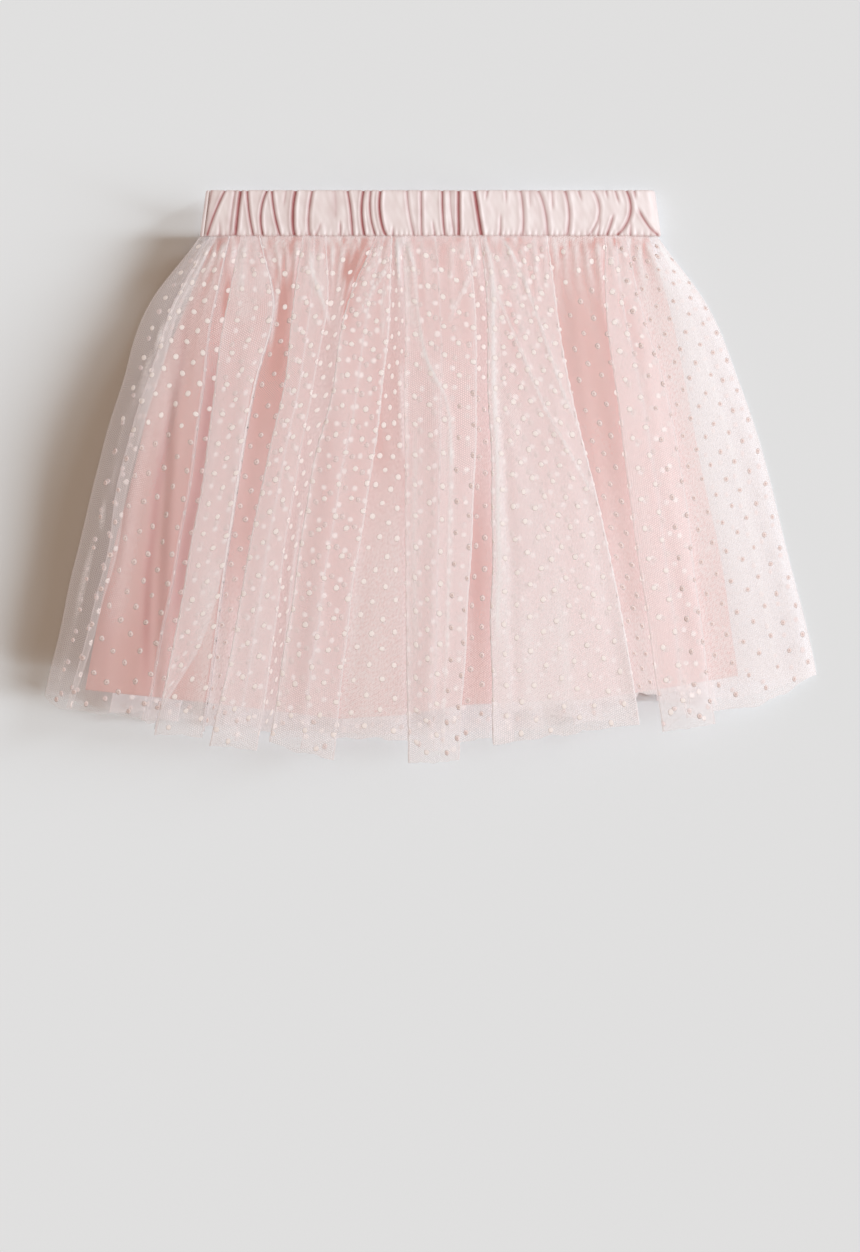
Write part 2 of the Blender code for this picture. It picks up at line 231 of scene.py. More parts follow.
@dataclass(frozen=True)
class Fold:
    """A box fold: its outer creases, the y of its hem at each, and its two tucks.

    A tuck is held to the room under the face. sag is how much of its height a wide face
    loses, gathers how many small gathers run down from the seam on its face, and gap how
    many run down to its left. full and gap_full are how many layers of thread lie over
    each other in its own cloth and in the gap, and the two line values are how strongly
    its creases draw.
    """

    left: Line
    right: Line
    left_hem: float
    right_hem: float
    left_tuck: Run
    right_tuck: Run
    sag: float
    gathers: int
    gap: int
    full: Run = ONE
    gap_full: Run = ONE
    left_line: Run = ONE
    right_line: Run = ONE


@dataclass(frozen=True)
class SoftFold:
    """A rounded ridge of cloth: its line, its height and its half width."""

    line: Line
    height: float
    half_width: float


@dataclass(frozen=True)
class Crease:
    """A crease: points from the top down, its height and its half width.

    A negative height is a trough. The ends fade out over the length fade.
    """

    points: tuple[Pair, ...]
    height: float
    half_width: float
    fade: float = 12.0

    def height_at(self, x: Grid, y: Grid, narrowed: float = 1.0) -> Grid:
        """Height times a bell across the line, eased in and out at its two ends.

        Args:
            x: places across.
            y: places down.
            narrowed: how much of its half width the bell has.

        Returns:
            The height at each place.
        """
        line_x = tuple(p[0] for p in self.points)
        line_y = tuple(p[1] for p in self.points)
        across = (x - curve_through(line_y, line_x, y)) / (self.half_width * narrowed)
        from_top = ease((line_y[0] - y) / self.fade + 0.5)
        to_end = ease((y - line_y[-1]) / self.fade + 0.5)
        return self.height * np.exp(-(across**2)) * from_top * to_end


def summed(creases: Sequence[Crease], x: Grid, y: Grid) -> Grid:
    """The height of several creases together."""
    return sum(crease.height_at(x, y) for crease in creases)


SIDE_LEFT = Line((-125.0, -153.6, -167.9, -180.6, -192.8, -203.0, -209.8))
SIDE_RIGHT = Line((122.9, 149.9, 168.2, 181.7, 194.4, 206.3, 212.0))
LINING_LEFT = Line((-116.4, -131.5, -148.2, -159.0, -172.0, -181.2, -186.6))
LINING_RIGHT = Line((117.5, 128.2, 137.4, 145.5, 156.3, 162.8, 167.7))

FRONT_FOLDS = (
    Fold(Line((-119.1, -138.2, -153.1, -166.1, -174.4, -186, -194.1)),
         Line((-108, -115.8, -121.8, -127.7, -136.2, -144.8, -150.4)),
         -124.7, -131, Run((4, 5, 6, 6, 5, 4, 3)), SHALLOW, 0.9, 3, 2,
         Run((1.4, 1.2, 0.85, 0.62, 0.52, 0.5, 0.5)), Run((1.3, 0.95, 0.7, 0.6, 0.55, 0.6, 0.65)),
         Run((0.5, 0.5, 0.45, 0.35, 0.3, 0.25, 0.25)), Run((0.4, 0.1, 0, 0, 0, 0, 0))),
    Fold(Line((-102.3, -109.4, -115.6, -121.2, -129.9, -137.7, -143.9)),
         Line((-91.5, -84.5, -94, -101.8, -109.5, -115.5, -119.5)),
         -138.8, -140.4, Run((9.1, 26, 20, 18.9, 19.5, 14.8, 3.5)), SHALLOW, 0, 2, 1,
         Run((0.9, 0.88, 0.8, 0.95, 1, 1, 1)), Run((2.2, 1.4, 1, 1, 1.05, 1.15, 1.3)),
         ONE, Run((1, 1, 1, 1, 0.9, 0.3, 0))),
    Fold(Line((-68.9, -74.2, -79.1, -88.6, -98.8, -106.4, -113.1)),
         Line((-55.9, -54.8, -62.9, -70.5, -78.6, -84, -88.8)),
         -144.7, -147.4, DEEP, DEEP, 0, 2, 4,
         Run((0.85, 0.85, 0.78, 0.87, 0.98, 1.12, 1.12)), Run((2.2, 1, 0.5, 0.9, 1.2, 2.6, 3)),
         ONE, Run((0.8, 0.8, 0.4, 0.25, 0.3, 0.4, 0.5))),
    Fold(Line((-29.4, -44.8, -52.4, -63.2, -71, -78, -82.9)),
         Line((-20.6, -21.9, -25.1, -31.1, -39.2, -45.1, -48.3)),
         -142.6, -152.3, DEEP, DEEP, 0, 2, 4,
         Run((0.8, 0.68, 0.76, 0.72, 0.76, 0.93, 1.05)), Run((2.4, 2, 2.3, 2.4, 2.2, 2.3, 2.8)),
         ONE, Run((1, 1, 0.9, 0.8, 0.7, 0.6, 0.6))),
    Fold(Line((-15, -14.3, -14.3, -13.8, -13.8, -13.2, -12.7)),
         Line((20.3, 24.6, 25, 24, 21.9, 19.2, 17.3)),
         -153.9, -152.3, DEEP, DEEP, 0, 5, 1,
         Run((0.85, 0.75, 0.84, 0.95, 1.1, 1.15, 1.2)), Run((2.4, 2.3, 1.6, 1.8, 2.8, 3, 3)),
         Run((0.4, 0.3, 0.2, 0.3, 0.3, 0.6, 0.9)), Run((0.8, 0.8, 0.8, 0.8, 0.8, 0.7, 0.7))),
    Fold(Line((26.7, 30.5, 30.6, 32.1, 32.7, 31.9, 32.7)),
         Line((62.9, 67.5, 74.5, 85.6, 96.9, 105.4, 109.9)),
         -144.2, -133.4, Run((8, 9, 9, 10, 11, 12, 13)), DEEP, 0.6, 6, 1,
         Run((0.9, 1, 1.15, 1.25, 1.43, 1.56, 1.6)), Run((2.3, 2, 2, 1.8, 1.1, 1.5, 1.8))),
    Fold(Line((93.7, 94, 98.8, 104, 111, 118.2, 121.9)),
         Line((105.6, 113.1, 126.1, 134.7, 141.2, 146.6, 150.9)),
         -137.2, -133, DEEP, DEEP, 0, 2, 5,
         Run((0.95, 1, 1.05, 1.05, 1.05, 1.05, 1.05)), Run((2.3, 1.1, 1, 1.3, 2.1, 2.4, 2.5)),
         Run((0.6, 0.4, 0.3, 0.2, 0.2, 0.3, 0.3)), Run((0.6, 0.5, 0.4, 0.4, 0.5, 0.5, 0.5))),
)
FRONT_LAST_GAP = (3, Run((2.7, 3.0, 3.1, 3.0, 2.9, 2.9, 2.8)))

WIDE = Run((2.2, 1.7, 1.4, 1.3, 1.3, 1.3, 1.3))
THIN = Run((1.3, 0.8, 0.55, 0.5, 0.5, 0.5, 0.55))
BACK_FOLDS = (
    Fold(Line((-110, -122, -147, -172)), Line((-84, -92, -112, -134)),
         -127, -132, DEEP, DEEP, 0, 4, 2, ONE, THIN),
    Fold(Line((-72, -76, -90, -110)), Line((-40, -43, -50, -62)),
         -134, -137, DEEP, Run((4, 6, 8, 9, 9, 8, 7)), 0, 5, 2, ONE, WIDE),
    Fold(Line((-31, -33, -38, -47)), Line((-8, -8, -10, -14)),
         -138, -139, DEEP, DEEP, 0, 4, 2, ONE, WIDE),
    Fold(Line((4, 5, 8, 9)), Line((38, 41, 50, 60)),
         -139, -136, Run((6, 8, 10, 12, 12, 10, 9)), DEEP, 0, 5, 2, ONE, WIDE),
    Fold(Line((47, 51, 62, 76)), Line((70, 78, 92, 106)),
         -134, -124, DEEP, DEEP, 0, 3, 2, ONE, WIDE),
    Fold(Line((80, 89, 105, 122)), Line((108, 118, 135, 154)),
         -121, -123, DEEP, Run((4, 5, 6, 6, 6, 6, 6)), 0, 4, 2, ONE, WIDE),
)
BACK_LAST_GAP = (2, WIDE)

# x and y of the hem between the folds, from the left side to the right
FRONT_HEM = (
    (-209.8, -195.8, -168.2, -130, -50, 15, 100, 112, 121, 135, 173, 195.8, 209.5),
    (-117.2, -125.3, -132, -133, -140.4, -143, -130, -117, -117, -128, -123.7, -114, -106.9),
)
BACK_HEM = (
    (-209.8, -168, -100, -20, 60, 108, 122, 165, 209.5),
    (-116.5, -127, -134, -139, -135, -115, -115, -120, -106.5),
)
LINING_HEM = (
    (-186, -123.4, -47.8, -15.9, 18.1, 88.8, 121.2, 167),
    (-114.5, -121, -130, -128.2, -122.6, -119.3, -114.5, -107),
)

LINING_SOFT_FOLDS = (
    SoftFold(Line((-109, -126, -149, -170)), 1.6, 15),
    SoftFold(Line((-97, -104, -120, -131)), 1.4, 16),
    SoftFold(Line((-66, -70, -82, -94)), 1.2, 18),
    SoftFold(Line((-30, -33, -40, -44)), 1.6, 20),
    SoftFold(Line((8, 9, 12, 16)), 1.2, 19),
    SoftFold(Line((54, 58, 66, 70)), 1.7, 20),
    SoftFold(Line((88, 94, 108, 124)), 1.4, 16),
)

# Narrow folds that the lining alone has
LINING_FINE_FOLDS = (
    Crease(((-153.6, 25.4), (-163.4, -23.2), (-172, -77.2), (-176.3, -112.3)), 0.9, 4.5, 40),
    Crease(((-139.6, 51.6), (-143.9, -12.4), (-147.2, -66.4), (-149.3, -125)), -1.1, 2.6, 30),
    Crease(((-135, 60), (-138.5, -10), (-140.5, -66.4), (-143, -125)), 0.9, 3.4, 34),
    Crease(((-158, 40), (-166, -20), (-170, -60)), -0.7, 2.8, 36),
    Crease(((-96, 80), (-102, 20), (-108, -60), (-112, -125)), 0.8, 4, 40),
    Crease(((-46, 90), (-52, 20), (-60, -60), (-66, -128)), 0.8, 5, 40),
    Crease(((2, 60), (4, 0), (1, -70), (-2, -126)), 0.7, 4.5, 40),
    Crease(((36, 70), (40, 0), (44, -60), (46, -124)), -0.7, 3.2, 40),
    Crease(((76, 100), (84, 30), (96, -40), (110, -118)), 0.9, 4.2, 36),
    Crease(((112, 80), (124, 10), (136, -50), (146, -110)), 0.8, 3.6, 36),
)

# Deep narrow grooves of the lining, whose colour is darkened along them as painted shade
LINING_GROOVES = (
    Crease(((-132, 78.8), (-136.4, 49.1), (-142.3, 21.1), (-147.2, -7), (-149.3, -30.8), (-152, -53.5),
           (-153.1, -105.3)), -0.9, 2.3, 50),
    Crease(((-117, 60), (-121.8, 21), (-125.6, -7), (-130.4, -28.6), (-138, -75)), -1, 3.6, 40),
    Crease(((-139, 20), (-143, -40), (-146, -90)), -0.35, 3.6, 40),
    Crease(((-161, 0), (-169, -50), (-176, -95)), -0.25, 4, 40),
    Crease(((26, 10), (24.5, -50), (23, -100)), -0.3, 4, 40),
)

FRONT_CREASES = (
    Crease(((-100.7, 127.4), (-105, 117.2), (-110.4, 99.4), (-112.6, 79.4)), -1, 1.6),
    Crease(((-64.5, 119.3), (-63.5, 109.1), (-58.6, 96.1), (-54.8, 84.1)), 1.5, 2),
    Crease(((-43.5, 124.6), (-39.7, 111.8), (-42.9, 98.3), (-46.2, 78)), -1.3, 3.6, 10),
    Crease(((-23, 112.7), (-32.1, 97.7), (-38.1, 88.4)), 1.3, 1.6, 8),
    Crease(((-18.1, 125.8), (-17, 104.7)), 1.1, 1.4, 8),
    Crease(((-25.1, 102.3), (-26.1, 76.2)), 0.9, 1.5, 10),
    Crease(((-14.3, 125.8), (-9.5, 115.6), (-7.8, 98.3), (-5.7, 80.5), (-2.4, 63.7), (3, 51.8),
           (8.4, 40.5), (11.1, 7.6)), 1.2, 1.5),
    Crease(((11.3, 14), (10, -28.1), (8.9, -78.3), (6.2, -148)), 0.6, 1.3),
    Crease(((-15.9, 58.4), (-14.9, 34.6), (-14.3, 10.7)), 0.9, 3),
    Crease(((25.1, 123.1), (21.3, 107.5), (15.9, 96.7), (10.7, 84.7)), 1.2, 1.6, 9),
    Crease(((28.4, 127.4), (32.1, 117.2), (33.4, 77.8), (33.9, 49.7), (36.2, -1.6), (36.4, -37.3),
           (35, -88)), 1.2, 2, 24),
    Crease(((38.6, 127.4), (45.1, 116.6), (51, 102.6), (62.4, 70.2), (71.6, 43.2), (77.4, 30.6)),
           1.3, 1.7),
    Crease(((35.9, 97), (47.2, 70.2), (61.3, 36.7), (77, 8.1), (87.1, -9.9)), 1.1, 1.6),
    Crease(((128.2, 116.1), (145.5, 68.6), (161.7, 14.6), (175.2, -44.8), (186, -98.8)), 0.5, 2.4, 22),
    Crease(((140, 96), (160, 48), (176, -6), (190, -60), (199, -104)), 0.35, 1.8, 20),
    Crease(((-138, 92), (-160, 40), (-178.5, -28.6), (-188.2, -62.1), (-200.1, -109.6)), 0.9, 1.6, 20),
    Crease(((-128, 112), (-146, 74), (-156, 44)), 1, 1.7, 14),
    Crease(((-80, 124), (-82, 100), (-86, 70)), 0.9, 2, 16),
    Crease(((-8, 20), (-9, -30), (-8, -90)), 0.6, 2.6, 30),
    Crease(((60, -10), (68, -60), (74, -120)), 0.3, 3.4, 34),
    Crease(((-70, -20), (-76, -70), (-80, -130)), 0.7, 2, 34),
)

BACK_CREASES = (
    Crease(((-100, 124), (-112, 90), (-124, 50), (-140, -10)), 0.9, 2, 20),
    Crease(((-60, 126), (-64, 90), (-70, 30), (-78, -60)), 1, 1.9, 20),
    Crease(((-22, 124), (-24, 84), (-27, 40)), 0.9, 1.8, 16),
    Crease(((22, 126), (26, 80), (32, 10), (38, -90)), 1.1, 2.1, 22),
    Crease(((60, 122), (68, 86), (76, 30)), 0.8, 1.8, 18),
    Crease(((96, 124), (108, 84), (122, 20), (138, -70)), 1, 2, 22),
)

# Pairs of lines between which the front net's dots show their backs, below a height
FRONT_TURNED = (
    (SIDE_LEFT, FRONT_FOLDS[1].left, 24),
    (FRONT_FOLDS[1].right, FRONT_FOLDS[2].left, 90),
    (Line((0, 2, 8, 11, 10, 9, 7)), FRONT_FOLDS[5].left, 50),
    (FRONT_FOLDS[5].right, FRONT_FOLDS[6].left, 100),
    (Line((101, 106, 116, 124, 131, 138, 142)), SIDE_RIGHT, 140),
)

# Where the front net lies fuller, or thinner, than its folds alone make it. The thin patches just below the
# waist are partly real gaps in the net and partly painted shade of deep gathers, as they let the darker
# lining show.
FRONT_VEILS = (
    Crease(((-41, 121), (-43, 106)), -2.4, 4.2, 7),
    Crease(((-44.2, 114), (-46.3, 82)), -1.8, 2.1, 12),
    Crease(((-80.5, 112), (-79.6, 84)), -1, 1.8, 12),
    Crease(((-109, 116), (-111, 86)), -0.9, 2, 12),
    Crease(((6.5, 124), (5.5, 112)), -1.4, 2.6, 6),
    Crease(((-60, 126), (-60.5, 118)), -1, 1.8, 5),
    Crease(((60, 124), (61, 112)), -0.8, 2.2, 6),
    Crease(((-32.7, 124.6), (-34.9, 115.2)), -1.8, 2.2, 6),
    Crease(((-76, 110), (-80, 80), (-84, 55)), -0.8, 3.6, 14),
    Crease(((-27.3, 66.5), (-28.6, 30.8), (-26, 5.2)), -0.7, 3.8, 16),
    Crease(((24.5, 0), (24.5, -60), (23.5, -120)), -0.2, 3.6, 30),
    Crease(((158, 100), (182, 40), (199, -30), (209, -100)), -1.7, 21, 30),
    Crease(((110, -75), (118, -130)), 0.8, 7, 20),
    Crease(((38.2, 90), (41, 60), (45, 40)), -0.9, 6, 16),
    Crease(((104, 96), (108.7, 76), (112, 62)), -0.6, 5, 14),
    Crease(((-60, 119), (-61, 96.4)), 1.3, 3, 8),
    Crease(((-103, 122), (-102, 100), (-100, 84)), 1.2, 4.4, 10),
    Crease(((-116, -50), (-119, -90), (-124, -138)), 1.1, 5.5, 20),
    Crease(((-108.5, 112), (-111, 82.5)), -0.8, 2, 10),
    Crease(((-13, 128), (-12, 100), (-6, 74), (2, 50)), 1.3, 2, 12),
    Crease(((2, 62), (6, 30), (8, 0)), 0.7, 5, 16),
    Crease(((10.5, 30), (10.5, -30), (9, -90)), 0.6, 1.8, 24),
    Crease(((34, 110), (35, 20), (37.4, -60), (38.5, -120)), 0.7, 3.6, 26),
    Crease(((-140, 60), (-151, 20), (-161, -30), (-168, -80)), 0.6, 8, 30),
    Crease(((60, -70), (62, -100), (63, -140)), 0.8, 14, 30),
    Crease(((122, 110), (135, 68), (147, 15), (153, -50)), 0.4, 11, 30),
)

# How the nets wander
HEM_WAVE = Wander(13.0, 5)
HEM_RIPPLE = Wander(6.0, 10, 0.35)
GATHER_LEAN = Wander(40.0, 1, 0.16)
PUCKER_BROAD = Wander(9.5, 12, 0.7, down=0.35)
PUCKER_FINE = Wander(4.2, 6, down=0.35)
PUCKER_STRENGTH = Wander(9.0, 7, 0.5, 0.8)
PUCKER_LENGTH = Wander(15.0, 9, 8.4, 14.0, down=0.0)
STREAKS = Wander(7.0, 11, 0.32, down=0.07)
FLUTES = Wander(26.0, 2, 0.55, 0.55, down=0.15)
ROLL = Wander(75.0, 3, 0.45, 0.45, down=0.5)
EDGES = Wander(55.0, 4, 0.5)
KNOBS = Wander(5.5, 8, 0.24, across=0.3)

# How the rows of dots bow, one over the other
DOT_ROW_BOWS = (
    Wander(95.0, swing=3.4, down=0.1), Wander(41.0, swing=1.7, down=0.1),
    Wander(23.0, swing=3.6, down=0.1),
)

# How a casing's satin wanders, with shares of the band's depth as y
SATIN_SWELL = Wander(11.0, 0, 0.22, down=14.0)
SATIN_RIPPLE = Wander(2.6, 1, 0.07, down=9.0)
SATIN_PUCKERS = Wander(17.0, 2, 1.6, down=0.0)
SATIN_BLUSH = Wander(5.0, 3, 0.04, 0.04, down=12.0)


@dataclass(frozen=True)
class LayFlat:
    """How the skirt's layers lie on each other: the middle height of each at x and y."""

    cloth_wall: float = 1.0
    seam_gap: float = 0.3
    step_at_waist: float = 1.5
    step_at_hem: float = 2.2
    step_grows_until: float = 0.4
    layer_pitch: float = 1.4
    tulle_over_lining: float = 1.6
    side_lift_at_waist: float = 2.5
    side_lift_ends: float = 0.2
    ramp_clear_of_lining: float = 2.0
    fine_folds_ease_in: float = 50.0

    def share_down(self, y: Grid) -> Grid:
        """From 0 at the waist seam to 1 at the hem."""
        return np.clip((PANEL_TOP_Y - y) / (PANEL_TOP_Y - NOMINAL_HEM_Y), 0.0, 1.1)

    def fold_step(self, y: Grid) -> Grid:
        """Height from one layer of a fold to the next."""
        grown = ease(self.share_down(y) / self.step_grows_until)
        return self.step_at_waist + (self.step_at_hem - self.step_at_waist) * grown

    def side_ramp(self, x: Grid, y: Grid) -> Grid:
        """0 along the skirt's sides and 1 where the lining lies between the panels."""
        left, right = SIDE_LEFT.at(y), SIDE_RIGHT.at(y)
        from_left = (x - left) / (LINING_LEFT.at(y) - self.ramp_clear_of_lining - left)
        from_right = (right - x) / (right - LINING_RIGHT.at(y) - self.ramp_clear_of_lining)
        return ease(np.minimum(from_left, from_right))

    def side_height(self, y: Grid) -> Grid:
        """Height of the back tulle along the sides, which rise to the waistband."""
        near_waist = np.clip(1 - self.share_down(y) / self.side_lift_ends, 0.0, 1.0)
        return self.cloth_wall / 2 + self.side_lift_at_waist * near_waist**2

    def lining_wave(self, x: Grid, y: Grid) -> Grid:
        """Sum of the bells of the lining's soft folds, eased in down the skirt."""
        spread = ease(self.share_down(y) / self.step_grows_until)
        rise = sum(
            fold.height * np.exp(-(((x - fold.line.at(y)) / fold.half_width) ** 2))
            for fold in LINING_SOFT_FOLDS
        )
        return rise * spread * self.side_ramp(x, y)

    def back_tulle(self, x: Grid, y: Grid) -> Grid:
        """Middle of the back net between its folds."""
        side = self.side_height(y)
        under_lining = self.cloth_wall / 2 + 2 * self.fold_step(y)
        return side + (under_lining - side) * self.side_ramp(x, y)

    def back_lining(self, y: Grid) -> Grid:
        """Middle of the back lining."""
        return self.cloth_wall / 2 + 2 * self.fold_step(y) + self.layer_pitch

    def front_lining(self, x: Grid, y: Grid) -> Grid:
        """Middle of the front lining, with its soft folds and its narrow ones."""
        narrow = summed(LINING_FINE_FOLDS + LINING_GROOVES, x, y)
        narrow = narrow * ease((PANEL_TOP_Y - y) / self.fine_folds_ease_in) * self.side_ramp(x, y)
        return self.back_lining(y) + self.layer_pitch + self.lining_wave(x, y) + narrow

    def front_tulle(self, x: Grid, y: Grid) -> Grid:
        """Middle of the front net between its folds."""
        side = self.side_height(y) + self.cloth_wall + self.seam_gap
        over_lining = self.front_lining(x, y) + self.tulle_over_lining
        return side + (over_lining - side) * self.side_ramp(x, y)


@dataclass(frozen=True)
class WaistSeam:
    """How a panel is drawn to its half of the waistband.

    The two halves of a layer stand apart by a gap that narrows at the band's ends.
    """

    pull_length: float
    pull_least: float
    half_gap: float
    half_gap_at_ends: float
    half_width: float
    end_length: float

    def drawn(self, x: Grid, y: Grid, z: Grid, up: int) -> Grid:
        """The panel's height z, eased into the seam's over the first millimetres down."""
        inwards = ease((self.half_width - np.abs(x)) / self.end_length)
        seam = SEAM_Z + up * (self.half_gap_at_ends + (self.half_gap - self.half_gap_at_ends) * inwards)
        eased = ease((PANEL_TOP_Y - y) / self.pull_length)
        return seam + (z - seam) * (self.pull_least + (1 - self.pull_least) * eased)


LIE = LayFlat()
TULLE_SEAM = WaistSeam(9.0, 0.12, 2.8, 1.0, BAND_HALF_WIDTH, 14.0)
LINING_SEAM = WaistSeam(10.0, 0.15, 1.9, 0.0, 118.0, 10.0)


def stepped(line: LineOf, way: int) -> LineOf:
    """The line moved half a fold step to the right, with way 1, or to the left, with -1."""
    return lambda y: line(y) + way * LIE.fold_step(y) / 2


@dataclass(frozen=True)
class Cloth:
    """A grid of cloth: its points in millimetres and its flat cloth coordinates.

    up is 1 where the right side faces up and -1 where it faces down.
    """

    points: Grid
    across: Grid
    down: Grid
    up: int

    def size(self) -> Pair:
        """The flat cloth's greatest width and length."""
        return float(self.across[-1]), float(self.down[-1].max())

    def normals(self) -> Grid:
        """Unit normals on the right side, the cross product of the grid's two slopes."""
        down = np.gradient(self.points, axis=0)
        across = np.gradient(self.points, axis=1)
        return unit(np.cross(down, across) * self.up)

    def faces(self) -> Grid:
        """Quads between neighbouring points, wound so that they face the right side."""
        quad = quads(*self.points.shape[:2])
        return quad if self.up > 0 else quad[:, ::-1]

    def place(self, across: Grid, down: Grid) -> Grids:
        """Where places of the flat cloth lie, by blending the four grid points round each.

        Args:
            across: cloth coordinates across, any shape.
            down: cloth coordinates down, of the same shape.

        Returns:
            The points and the unit normals, each with a last axis of three.
        """
        column = np.interp(across, self.across, np.arange(len(self.across)))
        left = np.clip(column.astype(int), 0, len(self.across) - 2)
        part = column - left
        lengths = self.down[:, left] * (1 - part) + self.down[:, left + 1] * part
        row = np.clip((lengths < down).sum(axis=0) - 1, 0, len(self.down) - 2)
        above = np.take_along_axis(lengths, row[None], axis=0)[0]
        below = np.take_along_axis(lengths, row[None] + 1, axis=0)[0]
        drop = np.clip((down - above) / np.maximum(below - above, 1e-6), 0.0, 1.0)
        weights = (
            (row, left, (1 - drop) * (1 - part)), (row, left + 1, (1 - drop) * part),
            (row + 1, left, drop * (1 - part)), (row + 1, left + 1, drop * part),
        )
        point, normal = (
            sum(grid[r, c] * w[..., None] for r, c, w in weights)
            for grid in (self.points, self.normals())
        )
        return point, unit(normal)


def make_object(
    name: str, points: Grid, faces: Grid, materials: Sequence[Material],
    cloth_uv: Grid | None = None, values: dict[str, Grid] | None = None,
    material_index: Grid | None = None,
) -> Piece:
    """Puts arrays of points and faces into a mesh and links its object.

    Args:
        name: the piece's name.
        points: n by 3, in millimetres.
        faces: m by 3 or m by 4 point numbers.
        materials: the piece's materials.
        cloth_uv: n by 2 cloth coordinates in millimetres, for the UV map named cloth.
        values: a number at each point, by attribute name.
        material_index: the material of each face.

    Returns:
        The linked object, at the origin.
    """
    mesh = bpy.data.meshes.new(name)
    corners = faces.astype(np.int32).ravel()
    mesh.vertices.add(len(points))
    mesh.vertices.foreach_set("co", (points * MM).astype(np.float32).ravel())
    mesh.loops.add(len(corners))
    mesh.loops.foreach_set("vertex_index", corners)
    mesh.polygons.add(len(faces))
    mesh.polygons.foreach_set("loop_start", np.arange(len(faces), dtype=np.int32) * faces.shape[1])
    if material_index is not None:
        mesh.polygons.foreach_set("material_index", material_index.astype(np.int32))
    if cloth_uv is not None:
        layer = mesh.uv_layers.new(name="cloth")
        layer.data.foreach_set("uv", (cloth_uv[corners] * MM).astype(np.float32).ravel())
    for key, value in (values or {}).items():
        attribute = mesh.attributes.new(key, "FLOAT", "POINT")
        attribute.data.foreach_set("value", value.astype(np.float32).ravel())
    mesh.update(calc_edges=True)
    mesh.validate()
    mesh.shade_smooth()
    for material in materials:
        mesh.materials.append(material)
    piece = bpy.data.objects.new(name, mesh)
    bpy.context.scene.collection.objects.link(piece)
    return piece


def cloth_object(
    name: str, cloth: Cloth, material: Material, values: dict[str, Grid] | None = None
) -> Piece:
    """The object of a whole grid of cloth, with its UV map in cloth coordinates."""
    across = np.broadcast_to(cloth.across, cloth.down.shape)
    uv = np.stack([across, cloth.down], axis=-1).reshape(-1, 2)
    return make_object(name, cloth.points.reshape(-1, 3), cloth.faces(), [material], uv, values)


class Wiring:
    """A material's nodes, wired to its one Principled shader."""

    def __init__(self, name: str, colour: Triple, roughness: float) -> None:
        """Starts a material of one colour and roughness."""
        self.material = bpy.data.materials.new(name)
        self.material.use_nodes = True
        self.tree = self.material.node_tree
        self.shader = self.tree.nodes["Principled BSDF"]
        self.set("Base Color", (*colour, 1.0))
        self.set("Roughness", roughness)

    def feed(self, socket: Socket, value: object) -> None:
        """Gives an input a value, or links a node's output to it."""
        if isinstance(value, Socket):
            self.tree.links.new(value, socket)
        else:
            socket.default_value = value

    def set(self, socket: str, value: object) -> None:
        """Feeds one of the shader's own sockets."""
        self.feed(self.shader.inputs[socket], value)

    def node(self, kind: str, inputs: dict[int | str, object], **settings: object) -> bpy.types.Node:
        """Adds a node.

        Args:
            kind: the node's type name, without ShaderNode in front.
            inputs: a value or an output socket for each input.
            settings: the node's own properties.

        Returns:
            The node.
        """
        made = self.tree.nodes.new("ShaderNode" + kind)
        for key, value in settings.items():
            setattr(made, key, value)
        for key, value in inputs.items():
            self.feed(made.inputs[key], value)
        return made

    def math(self, operation: str, *values: object) -> Socket:
        """One step of arithmetic on numbers or sockets."""
        return self.node("Math", dict(enumerate(values)), operation=operation).outputs[0]

    def cloth_uv(self) -> Socket:
        """The piece's cloth coordinates, in metres."""
        return self.node("UVMap", {}, uv_map="cloth").outputs[0]

    def place(self) -> Socket:
        """The place on the piece, in metres."""
        return self.node("TexCoord", {}).outputs["Object"]

    def value(self, name: str) -> Socket:
        """A number stored at the piece's points."""
        return self.node("Attribute", {}, attribute_name=name).outputs["Fac"]

    def waves(self, vector: Socket, pitch: float, turn: float) -> Socket:
        """Cosine of the distance along one direction of the cloth, with that pitch in mm."""
        rate = 2 * math.pi / (pitch * MM)
        direction = (rate * math.cos(turn), rate * math.sin(turn), 0.0)
        along = self.node("VectorMath", {0: vector, 1: direction}, operation="DOT_PRODUCT")
        return self.math("COSINE", along.outputs["Value"])

    def noise(self, vector: Socket, size: float, detail: float = 2.0) -> Socket:
        """Noise whose lumps are size mm across."""
        inputs = {"Vector": vector, "Scale": 1 / (size * MM), "Detail": detail}
        return self.node("TexNoise", inputs).outputs["Fac"]

    def stretched(self, vector: Socket, down: float) -> Socket:
        """The coordinates for a pattern drawn out down the cloth, scaled that way by down."""
        return self.node("Mapping", {"Vector": vector, "Scale": (1.0, down, 1.0)}).outputs[0]

    def slanted(self, vector: Socket, turn: float, stretch: float) -> Socket:
        """The coordinates for a pattern drawn out along a direction turned by that many degrees."""
        inputs = {"Vector": vector, "Rotation": (0.0, 0.0, math.radians(turn)), "Scale": (1.0, stretch, 1.0)}
        return self.node("Mapping", inputs, vector_type="TEXTURE").outputs[0]

    def between(self, share: Socket, low: object, high: object) -> Socket:
        """The colour a share of the way from low to high, each a colour or a socket."""
        low, high = (end if isinstance(end, Socket) else (*end, 1.0) for end in (low, high))
        return self.node("Mix", {0: share, 6: low, 7: high}, data_type="RGBA").outputs[2]

    def bump(self, height: Socket, distance: float, strength: float = 1.0) -> None:
        """Raises the surface by height times distance, in mm."""
        inputs = {"Height": height, "Distance": distance * MM, "Strength": strength}
        self.set("Normal", self.node("Bump", inputs).outputs[0])


